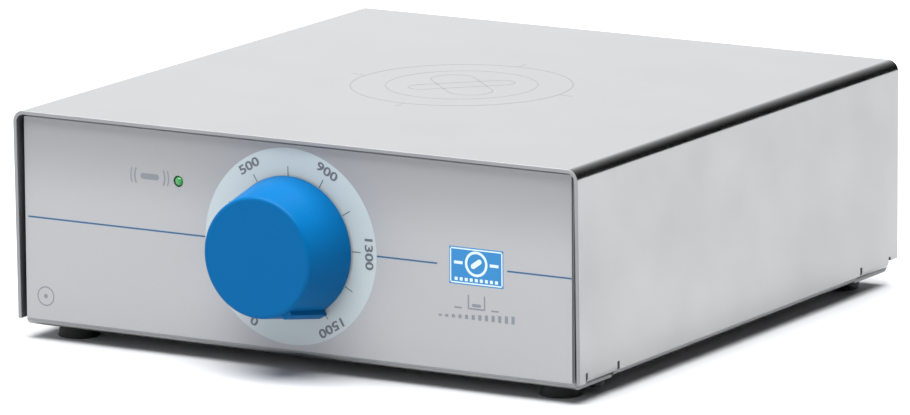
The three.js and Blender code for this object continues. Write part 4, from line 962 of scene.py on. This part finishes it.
# %% Feet
def make_foot(low, high):
    radius, flare, lip, chamfer = 6.6 * MM, 0.7 * MM, 0.35 * MM, 0.2 * MM
    bore, pocket, web = 1.8 * MM, 3.1 * MM, 1.3 * MM
    height = high.z - low.z
    bm = turned([
        (pocket, 0), *arc((radius - lip, lip), lip, -90, 10, 5), (radius - flare, height - chamfer),
        (radius - flare - chamfer, height), (bore, height), (bore, height - web),
        (pocket, height - web), (pocket, 0),
    ], 72)
    bmesh.ops.translate(bm, verts=bm.verts, vec=((low.x + high.x) / 2, (low.y + high.y) / 2, low.z))
    return bm


for name in sorted(n for n in nodes if n.startswith("foot_") and "screw" not in n):
    keep_piece("rubber_" + name, make_foot(*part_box(name)), RUBBER, "housing", [name])


# %% Indicator
def make_lamp():
    low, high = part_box("run_led")
    radius, collar, length = 1.5 * MM, 1.9 * MM, high.y - low.y
    bm = turned([(0, 0), (collar, 0), (collar, MM), (radius, MM),
                 *arc((0, length - radius), radius, 0, 90, 10)], 48)
    place = Matrix.Translation(((low.x + high.x) / 2, high.y, (low.z + high.z) / 2))
    bmesh.ops.transform(bm, matrix=place @ Matrix.Rotation(math.pi / 2, 4, "X"), verts=bm.verts)
    return bm


keep_piece("indicator_lamp", make_lamp(), GREEN_LENS, "housing", ["run_led"])

# %% [markdown]
# ## Screws
#
# Every screw is a pan head with a cross recess. One outline is spun and one cross is cut for
# each size, then the mesh is turned and put where each screw is. The box of a screw's part
# gives its head's radius, its length and which end the head is on.

# %% Screws
# Shank radius and head height for each head radius, in mm.
SCREW_SIZES = {2.8: (1.5, 1.9), 3.6: (2.0, 2.4), 5.0: (1.5, 1.9)}
CROSS_TAPER = 0.55
HEAD_TURNS = {
    "up": Matrix.Identity(4),
    "down": Matrix.Rotation(math.pi, 4, "X"),
    "back": Matrix.Rotation(-math.pi / 2, 4, "X"),
}


def make_screw(head, length):
    """A screw along Z: head's underside at 0, shank pointing down."""
    shank, tall = (v * MM for v in SCREW_SIZES[round(head / MM, 1)])
    edge = 0.25 * MM
    crown = 0.45 * tall
    tip = tall - length
    body = turned([
        (0, tip), (shank - edge, tip), (shank, tip + edge), (shank, 0),
        (head - edge, 0), *arc((head - edge, edge), edge, -90, 0, 3),
        *arc((head - crown, tall - crown), crown, 0, 90, 6), (0, tall),
    ], 48)
    wing, slot, deep = 0.62 * head, 0.11 * head, 0.62 * tall
    for turn in (0, math.pi / 2):
        cross = bmesh.new()
        place = Matrix.Rotation(turn, 4, "Z") @ Matrix.Translation((0, 0, tall))
        size = Matrix.Diagonal((2 * wing, 2 * slot, 2 * deep, 1))
        verts = bmesh.ops.create_cube(cross, size=1, matrix=place @ size)["verts"]
        for vert in verts:
            if vert.co.z < tall:
                vert.co.xy *= CROSS_TAPER
        body = carve(body, cross)
    return body


# The way each kind of screw's head points, where it isn't up.
HEADS = {"cover": "down", "foot": "down", "inlet": "back", "board": "back"}


def place_screws():
    for name in sorted(n for n in nodes if "screw" in n):
        low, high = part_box(name)
        kind = name.split("_screw")[0]
        towards = HEADS.get(kind, "up")
        size = high - low
        along = 1 if towards == "back" else 2
        bm = make_screw(size.x / 2, size[along])
        tall = SCREW_SIZES[round(size.x / 2 / MM, 1)][1] * MM
        seat = (low + high) / 2
        seat[along] = low[along] + tall if towards == "down" else high[along] - tall
        place = Matrix.Translation(seat) @ HEAD_TURNS[towards]
        bmesh.ops.transform(bm, matrix=place, verts=bm.verts)
        body = "rotor" if name == "hub_screw" else "housing"
        # Painted shade: the screws under the case are dark to stand in for the shade there.
        finish = OXIDE_AND_SHADE_BLACK if kind in ("cover", "foot") else SCREW_STEEL
        keep_piece("pan_" + name, bm, finish, body, [name])


place_screws()

# %% [markdown]
# ## Mouldings on the rear panel
#
# The inlet, its fuse drawer, the switch and the rocker have the right shape already, but
# their edges are knife sharp. A copy of each part's mesh has its loose triangles merged, its
# flat faces joined, and its edges bevelled with an operator. Pins and plate go the same way.

# %% Rounded copies
def round_edges(name, radius, segments=3, sharp=40):
    """A copy of a part's mesh with its sharp edges rounded."""
    bm = bmesh.new()
    bm.from_mesh(nodes[name].data)
    bmesh.ops.remove_doubles(bm, verts=bm.verts, dist=MERGE)
    bmesh.ops.dissolve_limit(bm, angle_limit=math.radians(1), verts=bm.verts, edges=bm.edges)
    edges = [e for e in bm.edges if e.is_manifold and e.calc_face_angle(0) > math.radians(sharp)]
    bmesh.ops.bevel(bm, geom=edges, offset=radius, segments=segments, profile=0.5, affect="EDGES",
                    material=-1, clamp_overlap=True)
    return bm


keep_piece("inlet_moulding", round_edges("inlet_body", 0.4 * MM), BLACK_NYLON, "housing",
           ["inlet_body"])
keep_piece("fuse_tray", round_edges("fuse_drawer", 0.3 * MM), BLACK_NYLON, "fuse_carrier",
           ["fuse_drawer"])
keep_piece("switch_frame", round_edges("switch_body", 0.3 * MM), BLACK_NYLON, "housing",
           ["switch_body"])
keep_piece("rocker_key", round_edges("switch_rocker", 0.4 * MM), BLACK_NYLON, "rocker",
           ["switch_rocker"])
for pin in ("line", "neutral", "earth"):
    keep_piece(f"pin_{pin}", round_edges(f"inlet_pin_{pin}", 0.45 * MM), NICKEL, "housing",
               [f"inlet_pin_{pin}"])
keep_piece("foil_plate", round_edges("rating_plate", 0.1 * MM, 1), FOIL, "housing",
           ["rating_plate"])

# %% Marks on the rear
plate_low, plate_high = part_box("rating_plate")
plate = middle_of("rating_plate")
REAR = Matrix.Translation((plate.x, plate_high.y, plate.z)) @ Matrix.Rotation(math.pi, 4, "Z")
REAR = REAR @ Matrix.Rotation(math.pi / 2, 4, "X")
rules = bmesh.new()
wide, tall = plate_high.x - plate_low.x - 5 * MM, plate_high.z - plate_low.z - 5 * MM
for i in range(5):
    draw_bar(rules, wide, 0.35 * MM, (0, (i / 4 - 0.5) * tall))
for x in (-0.5, 0.14, 0.5):
    draw_bar(rules, 0.35 * MM, tall + 0.35 * MM, (x * wide, 0))
keep_piece("plate_rules", raise_ink(rules, 0, REAR), GREY_INK, "housing")

# %% [markdown]
# ## The fuse
#
# With the drawer pulled out its fuse shows: a glass tube with a nickel cap on each end and
# a hair of wire between them.

# %% Fuse
def make_fuse():
    low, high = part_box("fuse")
    middle, radius = (low + high) / 2, (high.z - low.z) / 2
    cap, gap, skin, floor, hair = 5.5 * MM, 0.05 * MM, 0.3 * MM, 0.8 * MM, 0.12 * MM
    tube, caps = bmesh.new(), bmesh.new()
    bore = bmesh.new()
    ends = [Vector((low.x + MM, middle.y, middle.z)), Vector((high.x - MM, middle.y, middle.z))]
    add_rod(tube, radius - skin, ends[0], ends[1])
    add_rod(bore, radius - 3 * skin, ends[0] - Vector((MM, 0, 0)), ends[1] + Vector((MM, 0, 0)))
    for side, x in ((1, low.x), (-1, high.x)):
        inner = radius - skin
        outline = [(0, 0), (inner, 0), *arc((inner, skin), skin, -90, 0, 4), (radius, cap),
                   (inner + gap, cap), (inner + gap, floor), (0, floor)]
        shell = turned(outline, 48)
        turn = Matrix.Rotation(side * math.pi / 2, 4, "Y")
        shell.transform(Matrix.Translation((x, middle.y, middle.z)) @ turn)
        mesh = bpy.data.meshes.new("cap")
        shell.to_mesh(mesh)
        shell.free()
        caps.from_mesh(mesh)
        bpy.data.meshes.remove(mesh)
    wire = bmesh.new()
    inset = Vector((2 * gap, 0, 0))
    add_rod(wire, hair, ends[0] + inset, ends[1] - inset, 12)
    return carve(tube, bore), caps, wire


fuse_tube, fuse_caps, fuse_wire = make_fuse()
keep_piece("fuse_tube", fuse_tube, GLASS, "fuse_carrier", ["fuse"])
keep_piece("fuse_caps", fuse_caps, NICKEL, "fuse_carrier")
keep_piece("fuse_wire", fuse_wire, ZINC, "fuse_carrier")

# %% [markdown]
# ## Parts inside
#
# What the case hides keeps its own shape and is given the finish of its material.

# %% Inside finishes
dress(FILM, "front_overlay")
dress(ZINC, "pot_body", "pot_washer", "motor_bracket", "motor_body", "keeper_bar")
dress(BRASS, "pot_nut", "standoff_left", "standoff_right")
dress(ALUMINIUM, "pot_shaft", "rotor_hub")
dress(SCREW_STEEL, "motor_shaft")
dress(WHITE_NYLON, "led_spacer", "terminal_block")
dress(BOARD, "control_board")
dress(BLACK_ANODISED, "heat_sink")
dress(CAN_JACKET, "capacitor")
dress(MAGNET, "magnet_north", "magnet_south")
dress(LAMINATION, "transformer_core")
dress(WINDING_TAPE, "transformer_winding")
dress(SLEEVE, "motor_lead", "mains_lead", "supply_lead")
TEXTURES = {"Noise Texture", "Wave Texture"}


def has_pattern(part):
    finish = part.data.materials[0] if part.data.materials else None
    return finish is not None and not TEXTURES.isdisjoint(finish.node_tree.nodes.keys())


bare = [name for name, part in nodes.items() if not part.hide_render and not has_pattern(part)]
print("parts left without a finish:", bare)

# %% [markdown]
# ## The studio
#
# Steel shows the room more than itself, so the room is designed for it. The floor is pale
# matt paper, wide enough that every view ends on it. The sky is bright in a low band on the
# left, which the top plate mirrors at this low camera. It fades upwards and to the right
# into near darkness, which draws the dark line along the folded edge. The near side has a
# weaker band, raised a little above the floor so that it doesn't light the shade under the
# case. One broad soft lamp straight overhead gives the floor its white.

# %% Floor
def make_floor():
    material = grained("paper_matt_pale", "#B4B5B7", "#B9BABC", 40 * MM, (0.8, 0.9), 0.01 * MM)
    bm = bmesh.new()
    bmesh.ops.create_circle(bm, cap_ends=True, segments=96, radius=40)
    mesh = bpy.data.meshes.new("floor")
    bm.to_mesh(mesh)
    bm.free()
    mesh.materials.append(material)
    floor = bpy.data.objects.new("floor", mesh)
    bpy.context.scene.collection.objects.link(floor)


make_floor()
print("floor at z = 0")


# %% Sky
BAND_TOP = math.sin(math.radians(13))
BAND_EDGE = math.sin(math.radians(55))
BAND_GLOW = 1.39
NEAR_GLOW = 0.6
DARK_GLOW = 0.006


def make_sky():
    world = bpy.data.worlds.new("studio")
    bpy.context.scene.world = world
    world.use_nodes = True
    tree = world.node_tree
    background = tree.nodes["Background"]
    place = add_node(tree, "ShaderNodeTexCoord")
    axes = add_node(tree, "ShaderNodeSeparateXYZ", links={"Vector": place.outputs["Generated"]})
    soft = {"interpolation_type": "SMOOTHSTEP"}
    low = add_node(tree, "ShaderNodeMapRange",
                   {**soft, "From Min": BAND_TOP, "From Max": BAND_EDGE, "To Min": 1.0,
                    "To Max": 0.0}, {"Value": axes.outputs["Z"]})
    left = add_node(tree, "ShaderNodeMapRange",
                    {**soft, "From Min": -0.6, "From Max": 0.4, "To Min": BAND_GLOW, "To Max": 0.0},
                    {"Value": axes.outputs["X"]})
    near = add_node(tree, "ShaderNodeMapRange",
                    {**soft, "From Min": 0.0, "From Max": 0.5, "To Min": NEAR_GLOW, "To Max": 0.0},
                    {"Value": axes.outputs["Y"]})
    high = add_node(tree, "ShaderNodeMapRange", {**soft, "From Min": 0.2, "From Max": 0.28},
                    {"Value": axes.outputs["Z"]})
    raised = add_node(tree, "ShaderNodeMath", {"operation": "MULTIPLY"},
                      {0: near.outputs["Result"], 1: high.outputs["Result"]})
    band = add_node(tree, "ShaderNodeMath", {"operation": "MAXIMUM"},
                    {0: raised.outputs["Value"], 1: left.outputs["Result"]})
    glow = add_node(tree, "ShaderNodeMath", {"operation": "MULTIPLY_ADD", 2: DARK_GLOW},
                    {0: band.outputs["Value"], 1: low.outputs["Result"]})
    tree.links.new(glow.outputs["Value"], background.inputs["Strength"])
    background.inputs["Color"].default_value = linear("#FBFCFF")


make_sky()
print("sky band", BAND_GLOW, "near side", NEAR_GLOW, "far side", DARK_GLOW)

# %% Soft lamp
LAMP_POWER = 10.2
LAMP_SPREAD = math.radians(66)
LAMP_FROM = Vector((0, -0.06, 1)).normalized()
lamp = bpy.data.objects.new("overhead_lamp", bpy.data.lights.new("overhead_lamp", "SUN"))
lamp.data.energy = LAMP_POWER
lamp.data.angle = LAMP_SPREAD
lamp.rotation_euler = LAMP_FROM.to_track_quat("Z", "Y").to_euler()
bpy.context.scene.collection.objects.link(lamp)
print("lamp", LAMP_POWER)

# %% [markdown]
# ## The camera
#
# The case is seen from 30.6 degrees to the right of its front and 11.5 degrees above it, from
# far off with a long lens, so its edges stay nearly parallel. The camera's place is worked
# out from the point that it looks at and those two angles, with a small roll.

# %% Camera
YAW, PITCH, ROLL = math.radians(30.63), math.radians(11.46), math.radians(-0.35)
DISTANCE = 2712 * MM
FRAME_WIDTH, SENSOR_WIDTH = 910, 36
LENS = 8679 / FRAME_WIDTH * SENSOR_WIDTH
AIM_HEIGHT, AIM_LEFT, AIM_DOWN = 35 * MM, 2.3 * MM, 6.2 * MM


def make_camera():
    level = math.cos(PITCH)
    back = Vector((math.sin(YAW) * level, -math.cos(YAW) * level, math.sin(PITCH)))
    right = Vector((math.cos(YAW), math.sin(YAW), 0))
    up = back.cross(right)
    aim = Vector((0, case_y, underside + AIM_HEIGHT)) - right * AIM_LEFT - up * AIM_DOWN
    camera = bpy.data.objects.new("camera", bpy.data.cameras.new("camera"))
    turn = Matrix((right, up, back)).transposed() @ Matrix.Rotation(ROLL, 3, "Z")
    camera.matrix_world = Matrix.Translation(aim + back * DISTANCE) @ turn.to_4x4()
    camera.data.lens = LENS
    camera.data.clip_start, camera.data.clip_end = 0.1, 100
    bpy.context.scene.collection.objects.link(camera)
    bpy.context.scene.camera = camera
    bpy.context.scene.view_settings.view_transform = "Standard"


make_camera()
print("lens", round(LENS, 1), "mm at", DISTANCE, "m")
